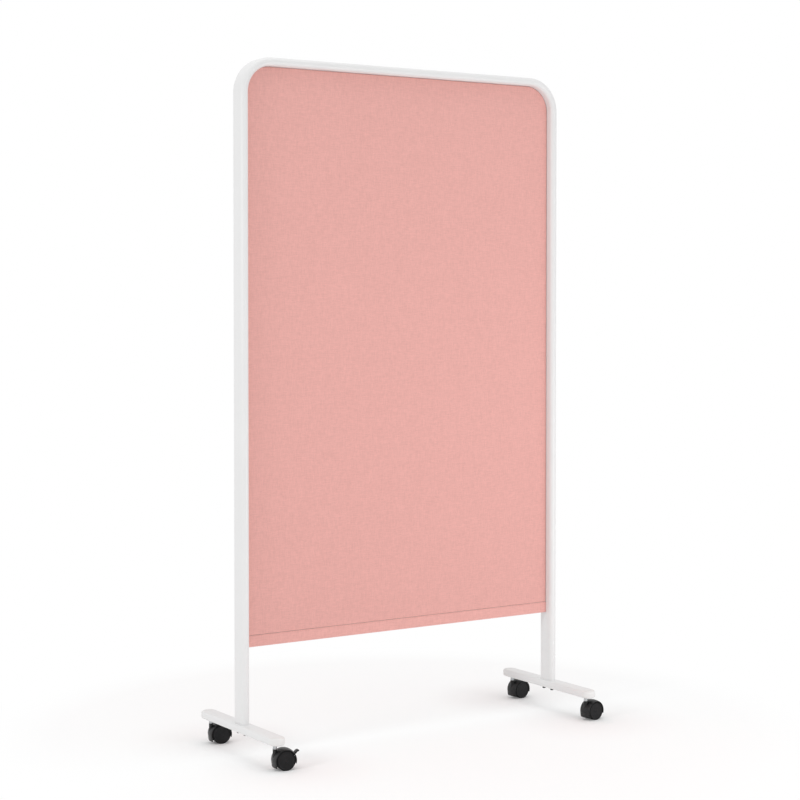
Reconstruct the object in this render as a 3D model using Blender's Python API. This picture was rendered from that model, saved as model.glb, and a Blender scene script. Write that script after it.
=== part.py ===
"""Fabric notice board: a flat-oval tube frame with a fabric panel, on two feet with four twin-wheel castors.

Metres, +Z up. The front faces -Y. The origin lies on the floor in the middle of the whole board's footprint.
"""

import math

import bmesh
import bpy
from mathutils import Matrix, Vector

# Whole board
POST_SPACING = 1.000  # between the posts' centre lines
BOARD_HEIGHT = 1.800  # floor to the top of the frame
SEAT_GAP = 0.0003  # between pieces that touch
CUT_OVERRUN = 0.002  # how far a cutter reaches past the wall it cuts
MERGE_SHARE = 0.03  # of the seat gap, below which points are one

# Frame tube
TUBE_WIDTH = 0.022  # across the panel's plane
TUBE_DEPTH = 0.054
TUBE_WALL = 0.0015
BEND_RADIUS = 0.070  # inner radius of the two top bends

# Panel
PANEL_BOTTOM = 0.281  # floor to the panel's lower edge
CORE_THICKNESS = 0.0054
FABRIC_THICKNESS = 0.0010
HEM_THICKNESS = 0.0013
HEM_HEIGHT = 0.0305
HEM_ROUNDING = 0.0028
PANEL_PIN_RADIUS = 0.0015
PANEL_PIN_IN_TUBE = 0.006  # reach into the tube, from its inner face
PANEL_PIN_IN_CORE = 0.012  # reach into the core, from the tube's inner face
PANEL_PIN_HEIGHTS_SHARES = (0.12, 0.5, 0.88)  # of the panel's height

# Feet
FOOT_LENGTH = 0.400
FOOT_WIDTH = 0.042
FOOT_HEIGHT = 0.020
FOOT_ROUNDING = 0.003  # radius of the bar's four long edges
FOOT_WALL = 0.0015
CAP_PLUG_LENGTH = 0.034  # the part of a cap inside the tube
POST_PLUG_HEIGHT = 0.040
BOLT_SPACING = 0.036
BOLT_RADIUS = 0.004
BOLT_HEAD_RADIUS = 0.0062
BOLT_HEAD_HEIGHT = 0.0045
BOLT_HEAD_FLAT_RADIUS = 0.0034  # of the domed head's flat end
BOLT_KEY_RADIUS = 0.0024
BOLT_KEY_DEPTH = 0.0026
BOLT_GRIP = 0.028  # thread inside the post plug

# Castors
CASTOR_HEIGHT = 0.066  # floor to the foot's underside
STEM_SETBACK = 0.030  # stem axis behind the foot's end
CASTOR_TRAIL = 0.0245  # wheel axis behind the stem axis
CASTOR_HEADINGS = {  # degrees, the way each castor trails in the photo, from +X
    "front_left": -9.6,
    "back_left": -11.3,
    "front_right": 4.2,
    "back_right": 3.4,
}
BRAKED_CASTOR = "front_left"
STEM_RADIUS = 0.005
STEM_THREAD_LENGTH = 0.015
STEM_FLANGE_RADIUS = 0.0056
STEM_FLANGE_HEIGHT = 0.0025
PIVOT_RADIUS = 0.0035
PIVOT_LENGTH = 0.014
STEM_NUT_RADIUS = 0.0085
STEM_NUT_HEIGHT = 0.008

# Wheels
WHEEL_RADIUS = 0.025  # over the tyre
WHEEL_WIDTH = 0.0132
TYRE_THICKNESS = 0.0027
TYRE_ROUNDING = 0.0010
TYRE_SETBACK = 0.0004  # tyre sides behind the rim sides
RIM_WALL = 0.0020
DISC_WALL = 0.0018
DISC_DISH = 0.0009  # face set in from the rim
HUB_RADIUS = 0.006
AXLE_RADIUS = 0.003
RUNNING_GAP = 0.0003

# Castor housing
HOOD_RADIUS = 0.028  # at the two side rims
HOOD_CROWN = 0.0025  # rise of the hood's middle above its rims
HOOD_CROWN_SHARE = 0.36  # of the hood's half width, where the crown's flat middle ends
HOOD_WALL = 0.0020
HOOD_WIDTH = 0.037
HOOD_EDGE = 0.0007  # chamfer on the hood's two side edges
HOOD_REAR_ANGLE = math.radians(-18)
HOOD_FRONT_ANGLE = math.radians(187)
APRON_LENGTH = 0.014  # the hood's straight front end, below its curve
WEB_THICKNESS = 0.005
AXLE_BOSS_WIDTH = 0.0088
AXLE_BOSS_RADIUS = 0.006
BOSS_RADIUS = 0.0054
BOSS_HEIGHT = 0.054  # floor to the boss's top
BOSS_ROOT = 0.030  # floor to the boss's root inside the hood
BOSS_EDGE = 0.0008

# Brake
BRAKE_TRAVEL = math.radians(22)  # how far the pedal is pressed down
BRAKE_PIVOT_REACH = 0.0180  # pivot to wheel axis
BRAKE_PIVOT_ANGLE = math.radians(6)
BRAKE_PIN_RADIUS = 0.0015
LEVER_ANGLE = math.radians(41)  # released, up from level
LEVER_REACH = 0.0310  # pivot to the pedal's tip
LEVER_EYE_RADIUS = 0.0036
LEVER_ARM_THICKNESS = 0.0018
LEVER_NECK_HEIGHT = 0.0046
PEDAL_REACH = 0.0155  # pivot to the wide part's start
PEDAL_WIDTH = 0.0140
PEDAL_HEIGHT = 0.0058
PEDAL_TIP_RADIUS = 0.0022
PEDAL_DROOP = 0.0026  # the tip below the lever's line
SLOT_MARGIN = math.radians(5)  # free angle on each side of the moving lever

# Facets of round shapes
OVAL_STEPS = 8
BEND_STEPS = 8
CORNER_STEPS = 6
WHEEL_STEPS = 20
ROUND_STEPS = 12
PIN_STEPS = 10
HEX_STEPS = 6
HOOD_STEPS = 18

# Heights that several pieces share
FOOT_BASE = CASTOR_HEIGHT
FOOT_MIDDLE = FOOT_BASE + FOOT_HEIGHT / 2
FOOT_TOP = FOOT_BASE + FOOT_HEIGHT
POST_BASE = FOOT_TOP + SEAT_GAP
SEAM_HEIGHT = PANEL_BOTTOM + HEM_HEIGHT
STEM_OFFSET = FOOT_LENGTH / 2 - STEM_SETBACK
FOOTPRINT_SHIFT = (CASTOR_TRAIL + HOOD_RADIUS - FOOT_WIDTH / 2) / 2

FINISHES = {  # colour, roughness, metallic
    "white_coat": ((0.82, 0.82, 0.81), 0.42, 0.0),
    "pink_fabric": ((0.76, 0.38, 0.34), 0.95, 0.0),
    "hem_fabric": ((0.74, 0.36, 0.32), 0.95, 0.0),
    "grey_core": ((0.45, 0.44, 0.42), 0.9, 0.0),
    "zinc": ((0.62, 0.63, 0.64), 0.32, 1.0),
    "black_screw": ((0.03, 0.03, 0.03), 0.4, 0.6),
    "white_plastic": ((0.80, 0.80, 0.79), 0.45, 0.0),
    "black_nylon": ((0.022, 0.022, 0.023), 0.45, 0.0),
    "black_disc": ((0.020, 0.020, 0.021), 0.5, 0.0),
    "black_tread": ((0.028, 0.028, 0.028), 0.7, 0.0),
}


def clear_scene():
    for item in list(bpy.data.objects):
        bpy.data.objects.remove(item, do_unlink=True)


def finish_material(name, finish):
    colour, roughness, metallic = FINISHES[finish]
    material = bpy.data.materials.new(name)
    material.use_nodes = True
    shader = material.node_tree.nodes["Principled BSDF"]
    shader.inputs["Base Color"].default_value = (*colour, 1.0)
    shader.inputs["Roughness"].default_value = roughness
    shader.inputs["Metallic"].default_value = metallic
    material.diffuse_color = (*colour, 1.0)
    return material


def place(name, mesh, finish, parent, location=(0, 0, 0), turn=0.0):
    """A piece of the board with a mesh and a material of its own, turned about Z."""
    own = mesh.copy()
    own.name = name
    own.materials.append(finish_material(name, finish))
    piece = bpy.data.objects.new(name, own)
    bpy.context.collection.objects.link(piece)
    piece.parent = parent
    piece.location = location
    piece.rotation_euler = (0, 0, turn)


def place_empty(name, parent, location=(0, 0, 0), turn=0.0):
    empty = bpy.data.objects.new(name, None)
    bpy.context.collection.objects.link(empty)
    empty.parent = parent
    empty.location = location
    empty.rotation_euler = (0, 0, turn)
    return empty


def to_mesh(bm, name):
    """Closes a bmesh into a mesh with its faces out and its round sides smooth."""
    bmesh.ops.recalc_face_normals(bm, faces=bm.faces)
    mesh = bpy.data.meshes.new(name)
    bm.to_mesh(mesh)
    bm.free()
    mesh.shade_smooth()
    mesh.set_sharp_from_angle(angle=math.radians(35))
    return mesh


def shaped(name, base, tools):
    """The base mesh after Boolean steps, each an operation and a mesh in the base's own frame."""
    body = bpy.data.objects.new(name, base)
    bpy.context.collection.objects.link(body)
    helpers = []
    for operation, mesh in tools:
        helper = bpy.data.objects.new(name + "_tool", mesh)
        helper.hide_render = True
        helper.display_type = "WIRE"
        bpy.context.collection.objects.link(helper)
        helpers.append(helper)
        step = body.modifiers.new(operation.lower(), "BOOLEAN")
        step.operation = operation
        step.solver = "EXACT"
        step.object = helper
    depsgraph = bpy.context.evaluated_depsgraph_get()
    result = bpy.data.meshes.new_from_object(body.evaluated_get(depsgraph))
    result.name = name
    for item in [body, *helpers]:
        bpy.data.objects.remove(item, do_unlink=True)
    result.materials.clear()
    result.shade_smooth()
    result.set_sharp_from_angle(angle=math.radians(35))
    return result


def arc(centre, radius, start, end, steps):
    """Points on an arc in a plane, both ends included."""
    points = []
    for step in range(steps + 1):
        angle = start + (end - start) * step / steps
        points.append((centre[0] + radius * math.cos(angle), centre[1] + radius * math.sin(angle)))
    return points


def oval(width, depth):
    """Flat oval: two half circles of the width, a depth apart over all."""
    radius = width / 2
    half_flat = depth / 2 - radius
    far_end = arc((0, half_flat), radius, 0, math.pi, OVAL_STEPS)
    near_end = arc((0, -half_flat), radius, math.pi, 2 * math.pi, OVAL_STEPS)
    return far_end + near_end


def skin(bm, rings):
    """Joins rings of points, each in the same order, by bands of faces, and the last ring to the first."""
    loops = [[bm.verts.new(point) for point in ring] for ring in rings]
    for index, far in enumerate(loops):
        near = loops[index - 1]
        for step in range(len(near)):
            bm.faces.new((near[step - 1], near[step], far[step], far[step - 1]))


def prism(points, thickness, name, upright=True):
    """An outline drawn in X and Z and given a thickness along Y, or drawn in X and Y and raised along Z."""
    bm = bmesh.new()
    half = thickness / 2
    if upright:
        verts = [bm.verts.new((x, -half, z)) for x, z in points]
        step = Vector((0, thickness, 0))
    else:
        verts = [bm.verts.new((x, y, 0)) for x, y in points]
        step = Vector((0, 0, thickness))
    face = bm.faces.new(verts)
    grown = bmesh.ops.extrude_face_region(bm, geom=[face])["geom"]
    moved = [item for item in grown if isinstance(item, bmesh.types.BMVert)]
    bmesh.ops.translate(bm, verts=moved, vec=step)
    return to_mesh(bm, name)


def rod(radius, start, end, name, steps=ROUND_STEPS):
    """A round rod between two points."""
    start = Vector(start)
    along = Vector(end) - start
    bm = bmesh.new()
    bmesh.ops.create_cone(
        bm, cap_ends=True, segments=steps, radius1=radius, radius2=radius, depth=along.length
    )
    turn = along.to_track_quat("Z", "Y").to_matrix().to_4x4()
    bmesh.ops.transform(bm, matrix=Matrix.Translation(start + along / 2) @ turn, verts=bm.verts)
    return to_mesh(bm, name)


def turned(profile, steps, name, closed, upright=False):
    """Turns (radius, distance) points round Y, or round Z; a flat side of the facets faces down."""
    bm = bmesh.new()
    verts = [bm.verts.new((0, along, -radius)) for radius, along in profile]
    edges = [bm.edges.new(pair) for pair in zip(verts, verts[1:])]
    if closed:
        edges.append(bm.edges.new((verts[-1], verts[0])))
    bmesh.ops.rotate(bm, verts=verts, cent=(0, 0, 0), matrix=Matrix.Rotation(math.pi / steps, 3, "Y"))
    bmesh.ops.spin(
        bm, geom=verts + edges, cent=(0, 0, 0), axis=(0, 1, 0), dvec=(0, 0, 0),
        angle=2 * math.pi, steps=steps, use_merge=True,
    )
    bmesh.ops.remove_doubles(bm, verts=bm.verts, dist=SEAT_GAP * MERGE_SHARE)
    if upright:
        bmesh.ops.rotate(bm, verts=bm.verts, cent=(0, 0, 0), matrix=Matrix.Rotation(math.pi / 2, 3, "X"))
    return to_mesh(bm, name)


# Frame

def tube_stations():
    """Places along the bent tube, from the left post's foot to the right's: X, Z and the section's tilt."""
    post = POST_SPACING / 2
    radius = BEND_RADIUS + TUBE_WIDTH / 2
    height = BOARD_HEIGHT - TUBE_WIDTH / 2 - radius
    stations = [(-post, POST_BASE, 0)]
    for centre, first in ((radius - post, 0), (post - radius, math.pi / 2)):
        for step in range(BEND_STEPS + 1):
            tilt = first + math.pi / 2 * step / BEND_STEPS
            stations.append((centre - radius * math.cos(tilt), height + radius * math.sin(tilt), tilt))
    stations.append((post, POST_BASE, math.pi))
    return stations


def tube_rings(inset):
    points = oval(TUBE_WIDTH - 2 * inset, TUBE_DEPTH - 2 * inset)
    return [
        [(x + across * math.cos(tilt), along, z - across * math.sin(tilt)) for across, along in points]
        for x, z, tilt in tube_stations()
    ]


def panel_pin_places():
    """Each pin's side, -1 for the left post and 1 for the right, and its height."""
    height = BOARD_HEIGHT - TUBE_WIDTH - PANEL_BOTTOM
    return [
        (side, PANEL_BOTTOM + height * share) for side in (-1, 1) for share in PANEL_PIN_HEIGHTS_SHARES
    ]


def panel_pin_rod(side, height, radius, slack, name):
    face = POST_SPACING / 2 - TUBE_WIDTH / 2
    start = (side * (face + PANEL_PIN_IN_TUBE + slack), 0, height)
    end = (side * (face - PANEL_PIN_IN_CORE - slack), 0, height)
    return rod(radius, start, end, name, PIN_STEPS)


def pin_cutters():
    """All the pins' holes as one cutter."""
    bm = bmesh.new()
    for side, height in panel_pin_places():
        bm.from_mesh(panel_pin_rod(side, height, PANEL_PIN_RADIUS + SEAT_GAP, SEAT_GAP, "pin_hole"))
    return [("DIFFERENCE", to_mesh(bm, "pin_holes"))]


def frame_tube_mesh():
    """The outer wall up one post and down the other, and the inner wall back again."""
    bm = bmesh.new()
    skin(bm, tube_rings(0) + tube_rings(TUBE_WALL)[::-1])
    return shaped("frame_tube", to_mesh(bm, "frame_tube_plain"), pin_cutters())


# Panel

def panel_outline(margin, bottom):
    """The panel's outline, in from the tube's inner face by the margin, round at its two top corners."""
    half = POST_SPACING / 2 - TUBE_WIDTH / 2 - margin
    top = BOARD_HEIGHT - TUBE_WIDTH - margin
    radius = BEND_RADIUS - margin
    right = arc((half - radius, top - radius), radius, 0, math.pi / 2, BEND_STEPS)
    left = arc((radius - half, top - radius), radius, math.pi / 2, math.pi, BEND_STEPS)
    return [(-half, bottom), (half, bottom), *right, *left]


def core_mesh():
    margin = 2 * SEAT_GAP + FABRIC_THICKNESS
    bottom = PANEL_BOTTOM + HEM_THICKNESS + SEAT_GAP
    plain = prism(panel_outline(margin, bottom), CORE_THICKNESS, "core_plain")
    return shaped("core_board", plain, pin_cutters())


def cover_wall(bm, margin, thickness):
    """One side of the sleeve's cloth, open at the bottom, and the four corners of that opening."""
    outline = panel_outline(margin, SEAM_HEIGHT + SEAT_GAP)
    front = [bm.verts.new((x, -thickness / 2, z)) for x, z in outline]
    back = [bm.verts.new((x, thickness / 2, z)) for x, z in outline]
    bm.faces.new(front)
    bm.faces.new(back)
    for index in range(1, len(outline)):
        after = (index + 1) % len(outline)
        bm.faces.new((front[index], front[after], back[after], back[index]))
    return [front[0], front[1], back[1], back[0]]


def cover_mesh():
    bm = bmesh.new()
    inside = CORE_THICKNESS + 2 * SEAT_GAP
    outer = cover_wall(bm, SEAT_GAP, inside + 2 * FABRIC_THICKNESS)
    inner = cover_wall(bm, SEAT_GAP + FABRIC_THICKNESS, inside)
    for index in range(len(outer)):
        bm.faces.new((outer[index - 1], outer[index], inner[index], inner[index - 1]))
    return shaped("fabric_cover", to_mesh(bm, "cover_plain"), pin_cutters())


def hem_mesh():
    """The closing band: a strip folded up round the core's lower edge."""
    inside = CORE_THICKNESS / 2 + SEAT_GAP
    outside = inside + HEM_THICKNESS
    centre = outside - HEM_ROUNDING
    low = PANEL_BOTTOM + HEM_ROUNDING
    back_corner = arc((centre, low), HEM_ROUNDING, 0, -math.pi / 2, CORNER_STEPS // 2)
    front_corner = arc((-centre, low), HEM_ROUNDING, -math.pi / 2, -math.pi, CORNER_STEPS // 2)
    floor = PANEL_BOTTOM + HEM_THICKNESS
    profile = [
        (inside, SEAM_HEIGHT), (outside, SEAM_HEIGHT), *back_corner, *front_corner,
        (-outside, SEAM_HEIGHT), (-inside, SEAM_HEIGHT), (-inside, floor), (inside, floor),
    ]
    length = POST_SPACING - TUBE_WIDTH - 2 * SEAT_GAP
    bm = bmesh.new()
    face = bm.faces.new([bm.verts.new((-length / 2, y, z)) for y, z in profile])
    grown = bmesh.ops.extrude_face_region(bm, geom=[face])["geom"]
    moved = [item for item in grown if isinstance(item, bmesh.types.BMVert)]
    bmesh.ops.translate(bm, verts=moved, vec=(length, 0, 0))
    return to_mesh(bm, "bottom_hem")


# Feet, each drawn about its own post: X across, Y along, Z from the floor

def bolt_places():
    return (-BOLT_SPACING / 2, BOLT_SPACING / 2)


def foot_tube_end():
    """How far the tube reaches from the foot's middle, to the gap before each cap."""
    return (FOOT_LENGTH - FOOT_WIDTH) / 2 - SEAT_GAP


def foot_corner(side, level, start, inset=0):
    """One rounded corner of the foot's section, as places across and up from the section's middle."""
    middle = (side * (FOOT_WIDTH / 2 - FOOT_ROUNDING), level * (FOOT_HEIGHT / 2 - FOOT_ROUNDING))
    return arc(middle, FOOT_ROUNDING - inset, start, start + math.pi / 2, CORNER_STEPS // 2)


def foot_section(inset):
    corners = ((1, 1, 0), (-1, 1, math.pi / 2), (-1, -1, math.pi), (1, -1, -math.pi / 2))
    return [point for side, level, start in corners for point in foot_corner(side, level, start, inset)]


def foot_tube_mesh():
    half = foot_tube_end()
    rings = []
    for inset, ends in ((0, (-half, half)), (FOOT_WALL, (half, -half))):
        points = foot_section(inset)
        rings += [[(across, end, FOOT_MIDDLE + up) for across, up in points] for end in ends]
    bm = bmesh.new()
    skin(bm, rings)
    tools = []
    for y in bolt_places():
        low = (0, y, FOOT_BASE - CUT_OVERRUN)
        high = (0, y, FOOT_TOP + CUT_OVERRUN)
        tools.append(("DIFFERENCE", rod(BOLT_RADIUS + SEAT_GAP, low, high, "bolt_hole")))
    for y in (-STEM_OFFSET, STEM_OFFSET):
        low = (0, y, FOOT_BASE - CUT_OVERRUN)
        high = (0, y, FOOT_BASE + FOOT_WALL + CUT_OVERRUN)
        tools.append(("DIFFERENCE", rod(STEM_RADIUS + SEAT_GAP, low, high, "stem_hole")))
    return shaped("foot_tube", to_mesh(bm, "foot_plain"), tools)


def foot_cap_mesh():
    """The cap for the foot's -Y end: a nose, half round in plan, and a plug that holds the castor's nut."""
    flange = -foot_tube_end() - SEAT_GAP
    edge = foot_corner(1, -1, -math.pi / 2) + foot_corner(1, 1, 0)
    profile = [(0, -FOOT_HEIGHT / 2), *edge, (0, FOOT_HEIGHT / 2)]
    bm = bmesh.new()
    verts = [bm.verts.new((across, flange, FOOT_MIDDLE + up)) for across, up in profile]
    edges = [bm.edges.new(pair) for pair in zip(verts, verts[1:])]
    bmesh.ops.spin(
        bm, geom=verts + edges, cent=(0, flange, 0), axis=(0, 0, 1), dvec=(0, 0, 0),
        angle=-math.pi, steps=2 * OVAL_STEPS,
    )
    bmesh.ops.remove_doubles(bm, verts=bm.verts, dist=SEAT_GAP * MERGE_SHARE)
    rim = [edge for edge in bm.edges if len(edge.link_faces) == 1]
    face = bmesh.ops.contextual_create(bm, geom=rim)["faces"][0]
    bmesh.ops.inset_region(bm, faces=[face], thickness=FOOT_WALL + SEAT_GAP, use_even_offset=True)
    plug = bmesh.ops.extrude_discrete_faces(bm, faces=[face])["faces"][0]
    bmesh.ops.translate(bm, verts=plug.verts, vec=(0, CAP_PLUG_LENGTH, 0))
    nut_low = FOOT_BASE + FOOT_WALL - CUT_OVERRUN
    nut_high = FOOT_BASE + FOOT_WALL + STEM_NUT_HEIGHT + 2 * SEAT_GAP
    stem_high = FOOT_BASE + STEM_THREAD_LENGTH + SEAT_GAP
    y = -STEM_OFFSET
    pocket = rod(STEM_NUT_RADIUS + SEAT_GAP, (0, y, nut_low), (0, y, nut_high), "nut_pocket", HEX_STEPS)
    bore = rod(STEM_RADIUS + SEAT_GAP, (0, y, nut_low), (0, y, stem_high), "stem_bore")
    tools = [("DIFFERENCE", pocket), ("DIFFERENCE", bore)]
    return shaped("foot_cap", to_mesh(bm, "cap_plain"), tools)


def post_plug_mesh():
    slack = 2 * (TUBE_WALL + SEAT_GAP)
    block = prism(oval(TUBE_WIDTH - slack, TUBE_DEPTH - slack), POST_PLUG_HEIGHT, "plug_plain", upright=False)
    tools = []
    for y in bolt_places():
        low = (0, y, -CUT_OVERRUN)
        high = (0, y, BOLT_GRIP + SEAT_GAP)
        tools.append(("DIFFERENCE", rod(BOLT_RADIUS + SEAT_GAP, low, high, "thread_hole")))
    return shaped("post_plug", block, tools)


def foot_bolt_mesh():
    """A domed socket screw, head down, drawn from the foot's underside up."""
    head = FOOT_BASE - SEAT_GAP
    tip = POST_BASE + BOLT_GRIP
    reach = BOLT_HEAD_RADIUS - BOLT_HEAD_FLAT_RADIUS
    dome = [
        (BOLT_HEAD_FLAT_RADIUS + reach * across, head - BOLT_HEAD_HEIGHT * down)
        for across, down in arc((0, 0), 1, 0, math.pi / 2, CORNER_STEPS // 2)
    ]
    profile = [(0, tip), (BOLT_RADIUS, tip), (BOLT_RADIUS, head), *dome, (0, head - BOLT_HEAD_HEIGHT)]
    plain = turned(profile, ROUND_STEPS, "bolt_plain", closed=False, upright=True)
    low = (0, 0, head - BOLT_HEAD_HEIGHT - CUT_OVERRUN)
    high = (0, 0, head - BOLT_HEAD_HEIGHT + BOLT_KEY_DEPTH)
    key = rod(BOLT_KEY_RADIUS, low, high, "key", HEX_STEPS)
    return shaped("foot_bolt", plain, [("DIFFERENCE", key)])


# Castors, each drawn about its own stem axis: +X trails, Y along the axle, Z from the floor

def polar(radius, angle):
    """A point in X and Z, a distance from the wheel axis and an angle up from the trailing side."""
    return (CASTOR_TRAIL + radius * math.cos(angle), WHEEL_RADIUS + radius * math.sin(angle))


def wheel_face():
    """How far each wheel's outer side lies from the castor's middle."""
    return HOOD_WIDTH / 2 - RUNNING_GAP


def stem_mesh():
    boss = BOSS_HEIGHT + SEAT_GAP
    tip = FOOT_BASE + STEM_THREAD_LENGTH
    profile = [
        (0, tip), (STEM_RADIUS, tip), (STEM_RADIUS, boss + STEM_FLANGE_HEIGHT),
        (STEM_FLANGE_RADIUS, boss + STEM_FLANGE_HEIGHT), (STEM_FLANGE_RADIUS, boss),
        (PIVOT_RADIUS, boss), (PIVOT_RADIUS, boss - PIVOT_LENGTH), (0, boss - PIVOT_LENGTH),
    ]
    return turned(profile, ROUND_STEPS, "castor_stem", closed=False, upright=True)


def stem_nut_mesh():
    low = (0, 0, FOOT_BASE + FOOT_WALL + SEAT_GAP)
    high = (0, 0, FOOT_BASE + FOOT_WALL + SEAT_GAP + STEM_NUT_HEIGHT)
    bore_low = (0, 0, FOOT_BASE)
    bore_high = (0, 0, high[2] + CUT_OVERRUN)
    bore = rod(STEM_RADIUS + SEAT_GAP, bore_low, bore_high, "nut_bore")
    return shaped("stem_nut", rod(STEM_NUT_RADIUS, low, high, "nut_plain", HEX_STEPS), [("DIFFERENCE", bore)])


def facet_radius(radius, steps=WHEEL_STEPS):
    """The corner radius of a faceted ring whose flats lie at the radius."""
    return radius / math.cos(math.pi / steps)


def tyre_inner_radius():
    return WHEEL_RADIUS - TYRE_THICKNESS


def wheel_mesh():
    """A dished disc with a rim and a hub, open on its inner side; the hub reaches the housing's web."""
    rim = facet_radius(tyre_inner_radius() - SEAT_GAP)
    face = wheel_face()
    inner = face - WHEEL_WIDTH
    disc = face - DISC_DISH
    back = disc - DISC_WALL
    hub_end = AXLE_BOSS_WIDTH / 2 + RUNNING_GAP
    bore = facet_radius(AXLE_RADIUS + RUNNING_GAP)
    rim_inside = rim - RIM_WALL
    profile = [
        (0, disc), (rim_inside - DISC_DISH, disc), (rim_inside, face), (rim, face), (rim, inner),
        (rim_inside, inner), (rim_inside, back), (HUB_RADIUS, back), (HUB_RADIUS, hub_end),
        (bore, hub_end), (bore, back), (0, back),
    ]
    return turned(profile, WHEEL_STEPS, "wheel", closed=False)


def tyre_mesh():
    outer = facet_radius(WHEEL_RADIUS)
    inner = facet_radius(tyre_inner_radius())
    high = wheel_face() - TYRE_SETBACK
    low = wheel_face() - WHEEL_WIDTH + TYRE_SETBACK
    profile = [
        (inner, low), (outer - TYRE_ROUNDING, low), (outer, low + TYRE_ROUNDING),
        (outer, high - TYRE_ROUNDING), (outer - TYRE_ROUNDING, high), (inner, high),
    ]
    return turned(profile, WHEEL_STEPS, "tyre", closed=True)


def axle_mesh():
    end = wheel_face() - DISC_DISH - DISC_WALL - RUNNING_GAP
    return rod(AXLE_RADIUS, (0, -end, 0), (0, end, 0), "axle")


def apron_step():
    """From the end of the hood's curve straight on, down to the apron's lower end."""
    return Vector((-math.sin(HOOD_FRONT_ANGLE), 0, math.cos(HOOD_FRONT_ANGLE))) * APRON_LENGTH


def hood_profile():
    """The hood's wall across its width, as distances from the wheel axis and along it."""
    half = HOOD_WIDTH / 2
    one_side = [
        (HOOD_RADIUS - HOOD_WALL, half), (HOOD_RADIUS - HOOD_EDGE, half), (HOOD_RADIUS, half - HOOD_EDGE),
        (HOOD_RADIUS + HOOD_CROWN, half * HOOD_CROWN_SHARE),
    ]
    return one_side + [(radius, -along) for radius, along in one_side[::-1]]


def hood_mesh():
    """The hood: a crowned cover over both wheels, swept round them and then straight down to its apron."""
    bm = bmesh.new()
    verts = []
    for radius, along in hood_profile():
        x, z = polar(radius, HOOD_REAR_ANGLE)
        verts.append(bm.verts.new((x, along, z)))
    face = bm.faces.new(verts)
    sweep = bmesh.ops.spin(
        bm, geom=[face], cent=(CASTOR_TRAIL, 0, WHEEL_RADIUS), axis=(0, -1, 0), dvec=(0, 0, 0),
        angle=HOOD_FRONT_ANGLE - HOOD_REAR_ANGLE, steps=HOOD_STEPS,
    )["geom_last"]
    last = [item for item in sweep if isinstance(item, bmesh.types.BMFace)]
    apron = bmesh.ops.extrude_discrete_faces(bm, faces=last)["faces"][0]
    bmesh.ops.translate(bm, verts=apron.verts, vec=apron_step())
    return to_mesh(bm, "hood")


def boss_mesh():
    profile = [
        (0, BOSS_HEIGHT), (BOSS_RADIUS - BOSS_EDGE, BOSS_HEIGHT), (BOSS_RADIUS, BOSS_HEIGHT - BOSS_EDGE),
        (BOSS_RADIUS, BOSS_ROOT), (0, BOSS_ROOT),
    ]
    return turned(profile, ROUND_STEPS, "boss", closed=False, upright=True)


def axle_boss_mesh():
    """The boss on both sides of the web that the wheels' hubs run against."""
    half = AXLE_BOSS_WIDTH / 2
    start = (CASTOR_TRAIL, -half, WHEEL_RADIUS)
    end = (CASTOR_TRAIL, half, WHEEL_RADIUS)
    return rod(AXLE_BOSS_RADIUS, start, end, "axle_boss")


def well_mesh(side):
    """The room that one wheel turns in."""
    radius = facet_radius(WHEEL_RADIUS) + RUNNING_GAP
    near = wheel_face() - WHEEL_WIDTH - RUNNING_GAP
    far = HOOD_WIDTH / 2 + CUT_OVERRUN
    start = (CASTOR_TRAIL, side * near, WHEEL_RADIUS)
    end = (CASTOR_TRAIL, side * far, WHEEL_RADIUS)
    return rod(radius, start, end, "wheel_well", 2 * WHEEL_STEPS)


def brake_pivot():
    return polar(BRAKE_PIVOT_REACH, BRAKE_PIVOT_ANGLE)


def slot_reach():
    """Wheel axis to the slot's inner end, past the lever's eye."""
    return BRAKE_PIVOT_REACH + LEVER_EYE_RADIUS + RUNNING_GAP


def slot_mesh():
    """The opening that the lever's neck moves in, from the web out through the hood."""
    reach = HOOD_RADIUS + HOOD_CROWN + CUT_OVERRUN
    angles = []
    for turn, side in ((LEVER_ANGLE, 1), (LEVER_ANGLE - BRAKE_TRAVEL, -1)):
        aside = BRAKE_PIVOT_REACH * math.sin(turn - BRAKE_PIVOT_ANGLE) - side * LEVER_NECK_HEIGHT / 2
        angles.append(turn - math.asin(aside / HOOD_RADIUS))
    high = angles[0] + SLOT_MARGIN
    low = angles[1] - SLOT_MARGIN
    centre = (CASTOR_TRAIL, WHEEL_RADIUS)
    outer = arc(centre, reach, low, high, CORNER_STEPS)
    inner = arc(centre, slot_reach(), high, low, CORNER_STEPS)
    return prism(outer + inner, WEB_THICKNESS + 2 * (LEVER_ARM_THICKNESS + 2 * RUNNING_GAP), "slot")


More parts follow.
